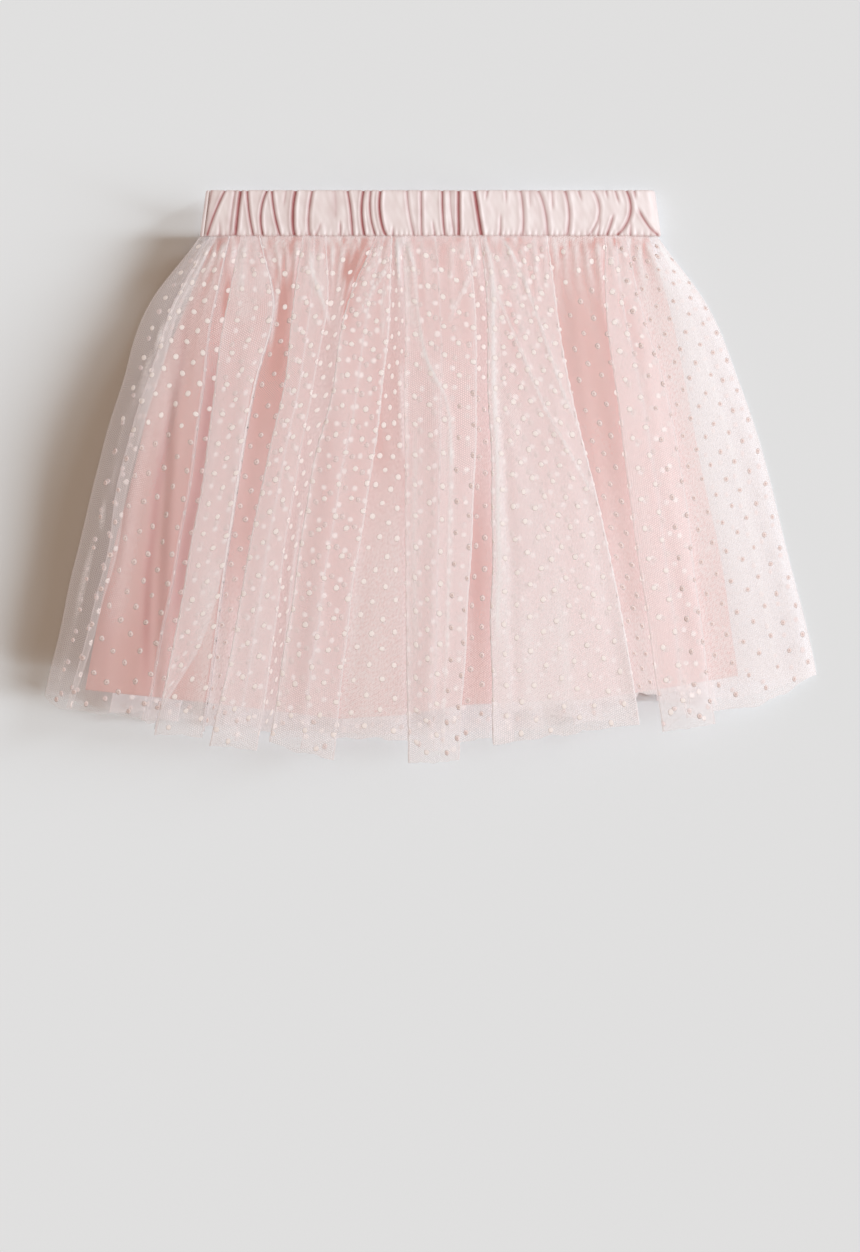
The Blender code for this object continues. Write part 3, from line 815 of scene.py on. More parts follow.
@dataclass(frozen=True)
class NetFinish:
    """Fine six-sided net: its thread colour, its pitch, and how dense hole and thread are."""

    colour: Triple
    shade: Triple
    many: Triple
    many_from: float = 2.5
    many_to: float = 5.0
    tone_size: float = 45.0
    pitch: float = 1.05
    hole: float = 0.24
    hole_from: float = 0.3
    thread: float = 0.55
    thread_from: float = -1.0
    mean: float = 0.38
    unevenness: float = 0.85
    grain: float = 1.3
    grain_size: float = 0.8
    grain_turn: float = 38.0
    grain_stretch: float = 2.6
    relief: float = 0.28
    roughness: float = 0.8
    gloss: float = 0.2
    pull: float = 1.6
    pull_size: float = 9.0
    pull_detail: float = 1.0

    def material(self, name: str) -> Material:
        """The net's material.

        Three cosines at 60 degrees add up to rings round each hole, and the low ground
        between the rings is the thread. Slanting grain makes it uneven. Where the cloth is
        full, more threads lie over each other. What gets through is (1 less the pattern)
        to the power of the fullness up to 1, times (1 less the mean density, which has
        the same grain) to the power of the rest. Many layers together look whiter.
        """
        wire = Wiring(name, self.colour, self.roughness)
        flat = wire.cloth_uv()
        lumps = {"Vector": flat, "Scale": 1 / (self.pull_size * MM), "Detail": self.pull_detail}
        pulled = wire.node("TexNoise", lumps)
        pull = (self.pull * MM,) * 3
        uv = wire.node(
            "VectorMath", {0: pulled.outputs["Color"], 1: pull, 2: flat}, operation="MULTIPLY_ADD"
        ).outputs[0]
        first, second, third = (
            wire.waves(uv, self.pitch, turn) for turn in (0.0, math.pi / 3, 2 * math.pi / 3)
        )
        total = wire.math("ADD", wire.math("SUBTRACT", first, second), third)
        slanting = wire.slanted(uv, self.grain_turn, self.grain_stretch)
        grain = wire.math("SUBTRACT", wire.noise(slanting, self.grain_size), 0.5)
        total = wire.math("ADD", total, wire.math("MULTIPLY", grain, self.grain * 2))
        limits = {"From Min": self.hole_from, "From Max": self.thread_from,
                  "To Min": self.hole, "To Max": self.thread}
        thread = wire.node(
            "MapRange", {"Value": total, **limits}, interpolation_type="SMOOTHSTEP"
        ).outputs[0]
        fullness = wire.value("fullness")
        first_layer = wire.math("MINIMUM", fullness, 1.0)
        the_rest = wire.math("MAXIMUM", wire.math("SUBTRACT", fullness, 1.0), 0.0)
        past_first = wire.math("POWER", wire.math("SUBTRACT", 1.0, thread), first_layer)
        clear_share = wire.math("MULTIPLY_ADD", grain, self.unevenness, 1 - self.mean)
        past_rest = wire.math("POWER", clear_share, the_rest)
        wire.set("Alpha", wire.math("SUBTRACT", 1.0, wire.math("MULTIPLY", past_first, past_rest)))
        few = wire.between(wire.noise(uv, self.tone_size), self.shade, self.colour)
        layers = wire.node(
            "MapRange", {"Value": fullness, "From Min": self.many_from, "From Max": self.many_to}
        ).outputs[0]
        wire.set("Base Color", wire.between(layers, few, self.many))
        wire.set("Specular IOR Level", self.gloss)
        wire.bump(grain, self.relief)
        return wire.material


@dataclass(frozen=True)
class FlockFinish:
    """Short flocked pile or the paste behind it."""

    colour: Triple
    shade: Triple
    roughness: float
    pile: float
    pile_size: float = 0.22
    mottle_size: float = 1.6
    sheen: float = 0.25
    gloss: float = 0.2

    def material(self, name: str) -> Material:
        """Mottled colour with a fine nap in its bump."""
        wire = Wiring(name, self.colour, self.roughness)
        place = wire.place()
        mottle = wire.noise(place, self.mottle_size)
        wire.set("Base Color", wire.between(mottle, self.shade, self.colour))
        wire.set("Sheen Weight", self.sheen)
        wire.set("Specular IOR Level", self.gloss)
        wire.bump(wire.noise(place, self.pile_size), self.pile)
        return wire.material


@dataclass(frozen=True)
class WovenFinish:
    """Plain smooth cloth: its colours, one of them a deep colour for painted shade, the pitch of its threads,
    its streaks and its bump.
    """

    colour: Triple
    shade: Triple
    deep: Triple
    pitch: float = 0.42
    weave_tone: float = 0.12
    streak_size: float = 11.0
    streak_draw: float = 0.12
    slub_size: float = 1.4
    slub_detail: float = 3.0
    slub: float = 0.8
    roughness: float = 0.62
    relief: float = 0.035
    sheen: float = 0.2
    sheen_roughness: float = 0.45

    def material(self, name: str) -> Material:
        """Warp and weft as the product of two cosines, over soft streaks down the cloth, and painted shade:
        the depth value darkens it towards the deep colour.
        """
        wire = Wiring(name, self.colour, self.roughness)
        uv = wire.cloth_uv()
        weave = wire.math(
            "MULTIPLY", wire.waves(uv, self.pitch, 0.0), wire.waves(uv, self.pitch, math.pi / 2)
        )
        slub = wire.noise(wire.stretched(uv, self.streak_draw), self.slub_size, self.slub_detail)
        streaks = wire.noise(wire.stretched(uv, self.streak_draw), self.streak_size)
        tone = wire.math("MULTIPLY_ADD", weave, self.weave_tone, streaks)
        plain = wire.between(tone, self.shade, self.colour)
        # Painted shade: the depth value darkens the cloth towards its deep colour along the lining's grooves.
        wire.set("Base Color", wire.between(wire.value("depth"), plain, self.deep))
        wire.set("Sheen Weight", self.sheen)
        wire.set("Sheen Roughness", self.sheen_roughness)
        wire.bump(wire.math("MULTIPLY_ADD", slub, self.slub, weave), self.relief)
        return wire.material


@dataclass(frozen=True)
class SatinFinish:
    """Satin with a soft sheen, with painted shade: deeper in colour down in its gathers."""

    colour: Triple
    deep: Triple
    float_size: float = 0.35
    float_draw: float = 0.08
    mottle_size: float = 6.0
    mottle_draw: float = 0.3
    mottle_share: float = 0.3
    detail: float = 3.0
    roughness: float = 0.42
    relief: float = 0.05
    anisotropy: float = 0.3
    gloss: float = 0.45
    sheen: float = 0.25
    sheen_roughness: float = 0.4

    def material(self, name: str) -> Material:
        """Long floats as noise drawn out across the band, and painted shade: the depth value deepens the
        colour in the gathers, with a random mottle.
        """
        wire = Wiring(name, self.colour, self.roughness)
        uv = wire.cloth_uv()
        floats = wire.noise(wire.stretched(uv, self.float_draw), self.float_size, self.detail)
        mottle = wire.noise(wire.stretched(uv, self.mottle_draw), self.mottle_size, self.detail)
        depth = wire.value("depth")
        around_none = wire.math("MULTIPLY_ADD", mottle, self.mottle_share, -self.mottle_share / 2)
        held = wire.node("Clamp", {"Value": wire.math("ADD", depth, around_none)}).outputs[0]
        # Painted shade: the gathers' depth value deepens the satin's colour.
        wire.set("Base Color", wire.between(held, self.colour, self.deep))
        wire.set("Anisotropic", self.anisotropy)
        wire.set("Specular IOR Level", self.gloss)
        wire.set("Sheen Weight", self.sheen)
        wire.set("Sheen Roughness", self.sheen_roughness)
        wire.bump(floats, self.relief)
        return wire.material


@dataclass(frozen=True)
class PaperFinish:
    """The plain pale surface that the skirt lies on."""

    grey: float = 0.8
    grain: float = 0.006
    grain_size: float = 1.2
    grain_detail: float = 4.0
    roughness: float = 0.95

    def material(self, name: str) -> Material:
        """Even grey with the faintest grain."""
        wire = Wiring(name, (self.grey,) * 3, self.roughness)
        low, high = ((self.grey + part,) * 3 for part in (-self.grain, self.grain))
        tone = wire.noise(wire.place(), self.grain_size, self.grain_detail)
        wire.set("Base Color", wire.between(tone, low, high))
        wire.set("Specular IOR Level", 0.0)
        return wire.material


NET = NetFinish(colour=(0.885, 0.815, 0.805), shade=(0.860, 0.780, 0.770), many=(0.92, 0.882, 0.878))
FLOCK = FlockFinish(colour=(0.99, 0.91, 0.88), shade=(0.94, 0.84, 0.80), roughness=0.9, pile=0.05)
FLOCK_BACK = FlockFinish(colour=(0.93, 0.78, 0.74), shade=(0.86, 0.69, 0.65), roughness=0.9, pile=0.03)
PASTE = FlockFinish(colour=(0.66, 0.52, 0.49), shade=(0.59, 0.45, 0.42), roughness=0.6, pile=0.02)
# deep is the lining's painted shade along its grooves
LINING_CLOTH = WovenFinish(colour=(0.77, 0.45, 0.405), shade=(0.66, 0.345, 0.305), deep=(0.56, 0.20, 0.18))
# deep is the satin's painted shade down in its gathers
SATIN = SatinFinish(colour=(0.945, 0.85, 0.845), deep=(0.42, 0.13, 0.13))
THREAD = WovenFinish((0.74, 0.40, 0.35), (0.66, 0.34, 0.30), (0.5, 0.2, 0.2), pitch=0.3, relief=0.02)


@dataclass(frozen=True)
class Strip:
    """Neighbouring columns of a net panel, from one line of the cloth to the next.

    phase, which counts the small gathers, and lively, which says how far they show, have
    a value for each column. The rest is rows by columns: level is the height over the
    lowest layer, edge is 1 round a fold, fullness is the cloth's own, and line is how
    far its slopes make it look fuller.
    """

    x: Grid
    y: Grid
    level: Grid
    phase: Grid
    lively: Grid
    edge: Grid
    fullness: Grid
    line: Grid


@dataclass
class DottedNet:
    """The small flocked dots of one panel, in a staggered layout on its cloth."""

    turned: tuple[tuple[Line, Line, float], ...] = ()
    pitch_across: float = 16.0
    pitch_down: float = 8.4
    half_width: float = 1.43
    half_length: float = 1.58
    rise: float = 0.1
    size_spread: float = 0.13
    wander: float = 0.5
    sides: int = 10
    shoulder: Pair = (0.82, 0.9)
    rim_height: float = 0.03
    underside: float = -0.05
    paste_share: float = 0.4
    clear_of_edge: float = 1.9
    clear_of_seam: float = 7.0
    squeeze_reach: float = 3.0
    squeeze_limits: Pair = (0.4, 1.1)
    seed: int = 4

    def centres(self, width: float, length: float) -> Grids:
        """Cloth coordinates of the dots: rows in turn shifted by half a pitch, and waving.

        Args:
            width: the flat cloth's width.
            length: its length.

        Returns:
            The place of each dot across, and down.
        """
        across = np.arange(0.0, width + self.pitch_across, self.pitch_across)
        down = np.arange(self.pitch_down / 2, length + self.pitch_down, self.pitch_down)
        column, row = np.meshgrid(across, down)
        column = column + (np.arange(len(down)) % 2)[:, None] * self.pitch_across / 2
        draw = np.random.default_rng(self.seed)
        column = column + draw.uniform(-self.wander, self.wander, column.shape)
        row = row + draw.uniform(-self.wander, self.wander, row.shape)
        for bow in DOT_ROW_BOWS:
            row = row + bow.at(column, row, self.seed)
        return column.ravel(), row.ravel()

    def template(self) -> tuple[Grid, Grid, Grid]:
        """One dot: a low dome closed from behind, where its middle shows the paste.

        Returns:
            Points as (across, down, height) for a dot of half width and length 1, the
            triangles, and the material of each: 0 for flock, 1 for its back, 2 for paste.
        """
        turn = np.arange(self.sides) * 2 * math.pi / self.sides
        radius, share = self.shoulder
        rings = np.array([
            (radius, share * self.rise), (1.0, self.rim_height), (self.paste_share, self.underside),
        ])
        circle = np.stack([np.cos(turn), np.sin(turn), np.ones_like(turn)], axis=1)
        around = (circle * rings[:, [0, 0, 1]][:, None]).reshape(-1, 3)
        points = np.concatenate([[(0.0, 0.0, self.rise)], around, [(0.0, 0.0, self.underside)]])
        here = np.arange(self.sides)
        after = (here + 1) % self.sides
        third = 1 + 2 * self.sides
        top = np.stack([0 * here, 1 + here, 1 + after], axis=1)
        halves = 1 + quads(3, self.sides, round_columns=True)[:, [[0, 1, 2], [0, 2, 3]]]
        middle = np.swapaxes(halves.reshape(2, self.sides, 2, 3), 1, 2).reshape(-1, 3)
        bottom = np.stack([third + here, 0 * here + len(points) - 1, third + after], axis=1)
        kind = np.repeat([0, 1, 2], [3 * self.sides, 2 * self.sides, self.sides])
        return points, np.concatenate([top, middle, bottom]), kind

    def build(self, name: str, cloth: Cloth, materials: Sequence[Material]) -> Piece:
        """Lays every dot on the net, bent round its folds, as one mesh.

        A dot is spread in cloth coordinates by as much as the drawn gathers squeeze the
        cloth there, so that it keeps its size.

        Args:
            name: the piece's name.
            cloth: the panel's net.
            materials: flock, its back and paste.

        Returns:
            The dots' object.
        """
        width, length = cloth.size()
        across, down = self.centres(width, length)
        end = np.interp(across, cloth.across, cloth.down[-1])
        inside = (across > self.clear_of_edge) & (across < width - self.clear_of_edge)
        inside &= (down > self.clear_of_seam) & (down < end - self.clear_of_edge)
        across, down = across[inside], down[inside]
        squeeze = self.local_width(cloth, across, down)
        shape, faces, kind = self.template()
        face_up = 1 - 2 * self.is_turned(cloth, across, down)[:, None]
        draw = np.random.default_rng(self.seed + 1)
        size = 1 + draw.uniform(-self.size_spread, self.size_spread, (2, len(across), 1))
        spread = across[:, None] + face_up * shape[:, 0] * self.half_width * size[0] / squeeze[:, None]
        fall = down[:, None] + shape[:, 1] * self.half_length * size[1]
        point, normal = cloth.place(spread.ravel(), fall.ravel())
        height = (face_up * shape[:, 2]).ravel()
        point = point + normal * height[:, None]
        number = np.arange(len(across))[:, None, None] * len(shape)
        every = (number + faces[None]).reshape(-1, 3)
        if cloth.up > 0:
            every = every[:, ::-1]
        return make_object(name, point, every, materials, material_index=np.tile(kind, len(across)))

    def is_turned(self, cloth: Cloth, across: Grid, down: Grid) -> Grid:
        """1 for each dot that shows its back, between two lines and below a height, or 0."""
        middle, _ = cloth.place(across, down)
        x, y = middle[:, 0], middle[:, 1]
        within = [(left.at(y) < x) & (x < right.at(y)) & (y < top) for left, right, top in self.turned]
        return sum(within, np.zeros(len(x), bool)).astype(float)

    def local_width(self, cloth: Cloth, across: Grid, down: Grid) -> Grid:
        """Drawn width over flat width of the cloth round each place, held to its limits."""
        reach = self.squeeze_reach
        trio = np.stack([cloth.place(across + step, down)[0] for step in (-reach, 0.0, reach)])
        return np.clip(lengths_along(trio)[-1] / (2 * reach), *self.squeeze_limits)


@dataclass
class TullePanel:
    """One full panel of dotted net, folded to and fro across the skirt."""

    side: Side
    folds: tuple[Fold, ...]
    hem: tuple[Numbers, Numbers]
    creases: tuple[Crease, ...]
    veils: tuple[Crease, ...]
    last_gap: tuple[int, Run]
    turned: tuple[tuple[Line, Line, float], ...]
    rows: int
    bend_columns: int
    seed: int

    # The spacing of the grid's rows and columns
    shown_pitch: float = 2.2
    gathered_pitch: float = 1.0
    hidden_pitch: float = 5.0
    rows_crowd: float = 0.3

    # The folds and the hem
    least_tuck: float = 0.5
    tuck_overlap: float = 1.0
    tuck_offset: float = 0.1
    face_crown: float = 0.8
    face_sag: float = 0.75
    sag_from: float = 0.5
    sag_grows_until: float = 0.5
    hem_wander: float = 1.3
    side_puff: float = 1.3
    side_puff_width: float = 9.0
    side_puff_ease: float = 40.0
    edges_ease: float = 40.0
    back_clearance: float = 0.3
    back_relief: float = 0.25
    back_relief_level: float = 2.0

    # Where it is sewn to the other panel at the sides
    side_seam_rise: float = 0.4
    side_seam_half_gap: float = 0.2
    side_seam_width: float = 3.0
    side_seam_ease: float = 25.0

    # Gathers, puckers and creases
    gather_height: float = 1.5
    gather_shares: Pair = (0.45, 1.0)
    gather_lengths: Pair = (24.0, 70.0)
    gather_sharpness: float = 1.4
    gather_ease: Pair = (6.0, 4.0)
    pucker_height: float = 0.8
    pucker_ease: float = 1.0
    hidden_gathers: float = 0.25
    flutes_from: float = 0.35
    roll_grows_until: float = 0.3
    crease_relief: float = 0.45
    relief_side_width: float = 5.0

    # How full the net lies
    face_fullness: float = 1.4
    under_fullness: float = 0.8
    gather_fullness: float = 1.1
    gather_middle: float = 0.4
    pucker_fullness: float = 0.95
    crease_fullness: float = 2.1
    crease_narrowed: float = 0.5
    slope_fullness: float = 0.7
    steepest: float = 0.3
    edge_fullness: float = 2.6
    side_edge_share: float = 0.35
    side_edge_width: float = 1.6
    hem_edge_fullness: float = 0.2
    hem_edge_width: float = 1.4
    hem_thinning: float = 0.3
    hem_thinning_ease: float = 4.0
    streaks_run: float = 80.0
    streaks_fall: float = 0.7
    calm_width: float = 54.0
    calm_ease: float = 30.0
    calm: float = 0.6
    folds_fullness: Pair = (0.15, 2.2)
    least_fullness: float = 0.1

    def hem_between(self, x: Grid) -> Grid:
        """The y of the hem between the folds."""
        return np.interp(x, *self.hem)

    def rows_down(self, hem: Grid) -> Grid:
        """The y of every row of the columns that end at hem, closer near the waist."""
        even = np.linspace(0.0, 1.0, self.rows)[:, None]
        share = even * (1 - self.rows_crowd) + even**2 * self.rows_crowd
        top = PANEL_TOP_Y + SEAM_ALLOWANCE
        return top + (hem - top) * share

    def tuck_lines(self, fold: Fold) -> tuple[LineOf, LineOf]:
        """Where a fold's two hidden bends turn, held to the room under its face.

        Args:
            fold: the fold.

        Returns:
            The lines of the left bend and the right one.
        """

        def depths(y: Grid) -> Grids:
            """How deep the left tuck and the right one go at y."""
            left, right = (
                np.maximum(tuck.at(y), self.least_tuck) for tuck in (fold.left_tuck, fold.right_tuck)
            )
            room = fold.right.at(y) - fold.left.at(y) + self.tuck_overlap
            held = np.minimum(1.0, room / (left + right))
            return left * held, right * held

        return (
            lambda y: fold.left.at(y) + depths(y)[0],
            lambda y: fold.right.at(y) - depths(y)[1],
        )

    def strip(
        self, start: LineOf, end: LineOf, hems: Pair | None,
        level: float, layer: Layer, fullness: Run, gathers: int = 0,
    ) -> Strip:
        """Columns of one layer that runs from the line start to the line end.

        x is a straight blend of the two lines. The columns' hems run from one end's hem
        to the other's, wandering a little between, or follow the hem between the folds.

        Args:
            start: the line that the cloth comes from.
            end: the line that it goes to.
            hems: the y of the hem at both ends, or None for the hem between the folds.
            level: how many fold steps up the layer lies.
            layer: whether it shows.
            fullness: how many layers of thread lie over each other in it.
            gathers: how many small gathers run down it.

        Returns:
            The strip.
        """
        shown = layer is Layer.SHOWN
        ends = np.array([PANEL_TOP_Y, NOMINAL_HEM_Y])
        waist, low = np.abs(end(ends) - start(ends))
        pitch = max(low / self.shown_pitch, waist / self.gathered_pitch) if shown else low / self.hidden_pitch
        count = max(2, round(pitch))
        share = (np.arange(count) + 0.5) / count
        first, last = float(start(COARSE_Y[-1])), float(end(COARSE_Y[-1]))
        if hems is None:
            hem = self.hem_between(first + (last - first) * share)
        else:
            hem = hems[0] + (hems[1] - hems[0]) * share
        own_place = np.full(count, 3 * first + 17 * level)
        wander = HEM_WAVE.at(share * low, own_place, self.seed)
        wander = wander + shown * HEM_RIPPLE.at(share * low, own_place, self.seed)
        y = self.rows_down(hem + self.hem_wander * wander * np.sin(math.pi * share))
        x = start(y) + (end(y) - start(y)) * share
        height = level * LIE.fold_step(y)
        lively = np.full(count, 1.0 if shown else self.hidden_gathers)
        own = fullness.at(y) * (1.0 if shown else self.under_fullness)
        return Strip(x, y, height, gathers * share, lively, np.zeros_like(x), own, np.ones_like(x))

    def face(self, fold: Fold) -> Strip:
        """A fold's face: crowned by half a sine, or sagging in the middle if it is wide.

        Args:
            fold: the fold.

        Returns:
            The strip.
        """
        flat = self.strip(
            stepped(fold.left.at, 1), stepped(fold.right.at, -1), (fold.left_hem, fold.right_hem),
            2, Layer.SHOWN, fold.full, fold.gathers,
        )
        share = (np.arange(flat.x.shape[1]) + 0.5) / flat.x.shape[1]
        across = np.sin(math.pi * share)
        down = LIE.share_down(flat.y)
        sagging = ease((across - self.sag_from) / (1 - self.sag_from))
        sagging = sagging * ease(down / self.sag_grows_until) * fold.sag * self.face_sag
        level = flat.level * (1 - sagging) + self.face_crown * (1 - fold.sag) * across * down
        return replace(flat, level=level, fullness=flat.fullness * self.face_fullness)

    def bend(
        self, turn: LineOf, bulge: int, hem: float, lowest: float,
        strength: Run, fullness: Run, rising: bool = True,
    ) -> Strip:
        """Half a circle round a fold, of half a fold step's radius.

        Args:
            turn: the bend's outermost line.
            bulge: 1 if it bulges to the right and -1 to the left.
            hem: the y of its hem.
            lowest: how many fold steps its lower end stands up.
            strength: how strongly it draws.
            fullness: how many layers of thread lie over each other in it.
            rising: whether the cloth climbs round it from left to right of the panel.

        Returns:
            The strip.
        """
        angle = np.linspace(-math.pi / 2, math.pi / 2, self.bend_columns)
        angle = angle if rising else angle[::-1]
        y = self.rows_down(np.full(self.bend_columns, hem))
        radius = LIE.fold_step(y) / 2
        x = turn(y) - bulge * radius * (1 - np.cos(angle))
        level = radius * (2 * lowest + 1 + np.sin(angle))
        line = strength.at(y) + np.zeros_like(x)
        edge = np.cos(angle) ** 0.5 * line
        blank = np.zeros(self.bend_columns)
        return Strip(x, y, level, blank, blank, edge, fullness.at(y), line)

    def fold_strips(self, fold: Fold) -> list[Strip]:
        """All the strips of one fold, from the hidden cloth at its left to that at its right.

        Args:
            fold: the fold.

        Returns:
            Its nine strips.
        """
        left, right = fold.left.at, fold.right.at
        left_tuck, right_tuck = self.tuck_lines(fold)
        between = [float(self.hem_between(line(COARSE_Y[-1]))) for line in (left, right)]
        inner = [(between[0] + fold.left_hem) / 2, (between[1] + fold.right_hem) / 2]
        low, high = -self.tuck_offset, self.tuck_offset

        def hidden(start: LineOf, end: LineOf, hems: Pair, level: float) -> Strip:
            """A layer of the fold that lies under its face."""
            return self.strip(start, end, hems, level, Layer.HIDDEN, fold.full)

        return [
            hidden(left, stepped(left_tuck, -1), (between[0], inner[0]), low),
            self.bend(left_tuck, 1, inner[0], low, FAINT, fold.full),
            hidden(stepped(left_tuck, -1), stepped(left, 1), (inner[0], fold.left_hem), 1 + low),
            self.bend(left, -1, fold.left_hem, 1, fold.left_line, fold.full),
            self.face(fold),
            self.bend(right, 1, fold.right_hem, 1, fold.right_line, fold.full, rising=False),
            hidden(stepped(right, -1), stepped(right_tuck, 1), (fold.right_hem, inner[1]), 1 + high),
            self.bend(right_tuck, -1, inner[1], high, FAINT, fold.full, rising=False),
            hidden(stepped(right_tuck, 1), right, (inner[1], between[1]), high),
        ]

    def all_strips(self) -> list[Strip]:
        """The panel's strips from its left side to its right one."""
        strips: list[Strip] = []
        gap_start: LineOf = SIDE_LEFT.at
        for fold in self.folds:
            strips.append(self.strip(gap_start, fold.left.at, None, 0, Layer.SHOWN, fold.gap_full, fold.gap))
            strips += self.fold_strips(fold)
            gap_start = fold.right.at
        gathers, fullness = self.last_gap
        strips.append(self.strip(gap_start, SIDE_RIGHT.at, None, 0, Layer.SHOWN, fullness, gathers))
        return strips

    def gathers(self, phase: Grid, lively: Grid, x: Grid, y: Grid) -> Grids:
        """The small gathers that run down from the waist seam.

        Each one is a raised cosine of its phase. Its height eases in below the seam and
        out again at a length of its own, and finer puckers die out sooner. The cloth is
        fuller along the ridges and thinner between them.

        Args:
            phase: the count of gathers from the panel's left side, one for each column.
            lively: how far they show in each column.
            x: places across.
            y: places down.

        Returns:
            Their height, and how much fuller they make the cloth.
        """
        draw = np.random.default_rng(self.seed)
        count = int(phase.max()) + 3
        length = np.interp(phase, np.arange(count), draw.uniform(*self.gather_lengths, count))
        share = np.interp(phase, np.arange(count), draw.uniform(*self.gather_shares, count))
        down = PANEL_TOP_Y - y
        turns = phase + GATHER_LEAN.at(x, y, self.seed)
        ridge = (0.5 - 0.5 * np.cos(2 * math.pi * turns)) ** self.gather_sharpness
        ease_in, holds = self.gather_ease
        run = ease(down / ease_in) * (1 - ease((down - holds) / length)) * share
        pucker = np.clip(PUCKER_FINE.at(x, y, self.seed) + PUCKER_BROAD.at(x, y, self.seed), -1.0, 1.0)
        pucker = pucker * PUCKER_STRENGTH.at(x, y, self.seed)
        short = 1 - ease(down / PUCKER_LENGTH.at(x, y, self.seed))
        short = short * ease((down + self.pucker_ease) / (2 * self.pucker_ease))
        rise = ridge * run * self.gather_height + 0.5 * (pucker + 1) * short * self.pucker_height
        fuller = self.gather_fullness * (ridge - self.gather_middle) * run * (lively > 0.5)
        return lively * rise, fuller + self.pucker_fullness * pucker * short

    def streaks(self, x: Grid, y: Grid) -> Grid:
        """How much fuller the cloth lies in streaks that spread with the skirt and fade down it.

        They are calm, which is weaker, along the last part of the waist on the right.

        Args:
            x: places across.
            y: places down.

        Returns:
            The change in fullness at each place.
        """
        left, right = SIDE_LEFT.at(y), SIDE_RIGHT.at(y)
        spread = WAIST_WIDTH * (x - left) / (right - left)
        fading = 1 - self.streaks_fall * ease((PANEL_TOP_Y - y) / self.streaks_run)
        weaker = 1 - self.calm * ease((spread - WAIST_WIDTH + self.calm_width) / self.calm_ease)
        return STREAKS.at(spread, y, self.seed) * fading * weaker

    def relief(self, x: Grid, y: Grid) -> Grid:
        """Height of the listed creases, the hem's flutes and the cloth's slow roll."""
        down = LIE.share_down(y)
        rise = self.crease_relief * summed(self.creases, x, y)
        rise = rise + FLUTES.at(x, y, self.seed) * ease((down - self.flutes_from) / (1 - self.flutes_from))
        return rise + ROLL.at(x, y, self.seed) * ease(down / self.roll_grows_until)

    def height(self, net: Strip, gathered: Grid, from_side: Grid) -> Grid:
        """The net's height over the surface, from the layers that it lies on.

        It is drawn to the waist seam at its top and to the other panel along its sides.

        Args:
            net: all its strips as one.
            gathered: the height of its small gathers.
            from_side: the distance to the nearer side of the skirt.

        Returns:
            The height at each point.
        """
        x, y, down = net.x, net.y, PANEL_TOP_Y - net.y
        puff = self.side_puff * (1 - LIE.side_ramp(x, y)) * ease(down / self.side_puff_ease)
        puff = puff * ease(from_side / self.side_puff_width)
        lift = gathered + self.relief(x, y) * ease(from_side / self.relief_side_width)
        if self.side is Side.FRONT:
            z = LIE.front_tulle(x, y) + net.level + lift + puff
        else:
            z = np.maximum(LIE.back_tulle(x, y) - net.level, self.back_clearance)
            z = z + self.back_relief * lift * ease(net.level / self.back_relief_level)
        z = TULLE_SEAM.drawn(x, y, z, self.side.up)
        meet = (1 - ease(from_side / self.side_seam_width)) * ease(down / self.side_seam_ease)
        side = LIE.side_height(y) + self.side_seam_rise + self.side.up * self.side_seam_half_gap
        return z + (side - z) * meet

    def fullness(self, cloth: Cloth, net: Strip, fuller: Grid, from_side: Grid) -> Grid:
        """How many layers of thread lie over each other at each point.

        It starts from each strip's own and grows with its gathers and veils, where the
        cloth slopes, along creases and round folds, along the left side and at the hem.
        Below the lining's hem it is thinner.

        Args:
            cloth: the net as it lies.
            net: all its strips as one.
            fuller: how much fuller the gathers make it.
            from_side: the distance to the nearer side of the skirt.

        Returns:
            The number at each point.
        """
        x, y = cloth.points[..., 0], cloth.points[..., 1]
        slope = 1 / np.maximum(np.abs(cloth.normals()[..., 2]), self.steepest) - 1
        lines = [crease.height_at(x, y, self.crease_narrowed) for crease in self.creases]
        creased = sum(np.maximum(line, 0.0) for line in lines)
        veil = self.crease_fullness * creased + summed(self.veils, x, y)
        below = ease((np.interp(x, *LINING_HEM) - y) / self.hem_thinning_ease)
        gathered = np.clip(1 + fuller + self.streaks(x, y), *self.folds_fullness)
        full = net.fullness * gathered * (1 - self.hem_thinning * below) + veil * (net.lively > 0.5)
        full = np.maximum(full, self.least_fullness) * (1 + self.slope_fullness * slope * net.line)
        left_side = (1 - ease(from_side / self.side_edge_width)) * (x < 0)
        full = full + self.edge_fullness * np.maximum(net.edge, self.side_edge_share * left_side)
        to_hem = ease((cloth.down[-1] - cloth.down) / self.hem_edge_width)
        return full + self.hem_edge_fullness * (1 - to_hem)

    def shape(self) -> tuple[Cloth, dict[str, Grid]]:
        """The whole panel as one grid.

        Its cloth coordinate across grows by each column's greatest drawn width, so that
        the cloth is squeezed nowhere below 0 and stretched nowhere.

        Returns:
            The cloth, and its fullness by name.
        """
        strips = self.all_strips()
        counts = np.cumsum([0.0] + [round(float(s.phase.max(initial=0.0)) + 0.3) for s in strips])
        strips = [replace(s, phase=s.phase + start) for s, start in zip(strips, counts)]
        net = Strip(*(
            np.concatenate([getattr(s, field.name) for s in strips], axis=-1) for field in fields(Strip)
        ))
        step = np.hypot(np.diff(net.x, axis=1), np.diff(net.level, axis=1))
        across = np.concatenate([[0.0], np.cumsum(step.max(axis=0))])
        from_side = np.minimum(net.x - SIDE_LEFT.at(net.y), SIDE_RIGHT.at(net.y) - net.x)
        gathered, fuller = self.gathers(net.phase, net.lively, net.x, net.y)
        z = self.height(net, gathered, from_side)
        slow = ease((PANEL_TOP_Y - net.y) / self.edges_ease)
        x = net.x + EDGES.at(net.x, net.y, self.seed) * slow + KNOBS.at(net.x, net.y, self.seed) * net.edge
        points = np.stack([x, net.y, z], axis=-1)
        cloth = Cloth(points, across, lengths_along(points), self.side.up)
        return cloth, {"fullness": self.fullness(cloth, net, fuller, from_side)}

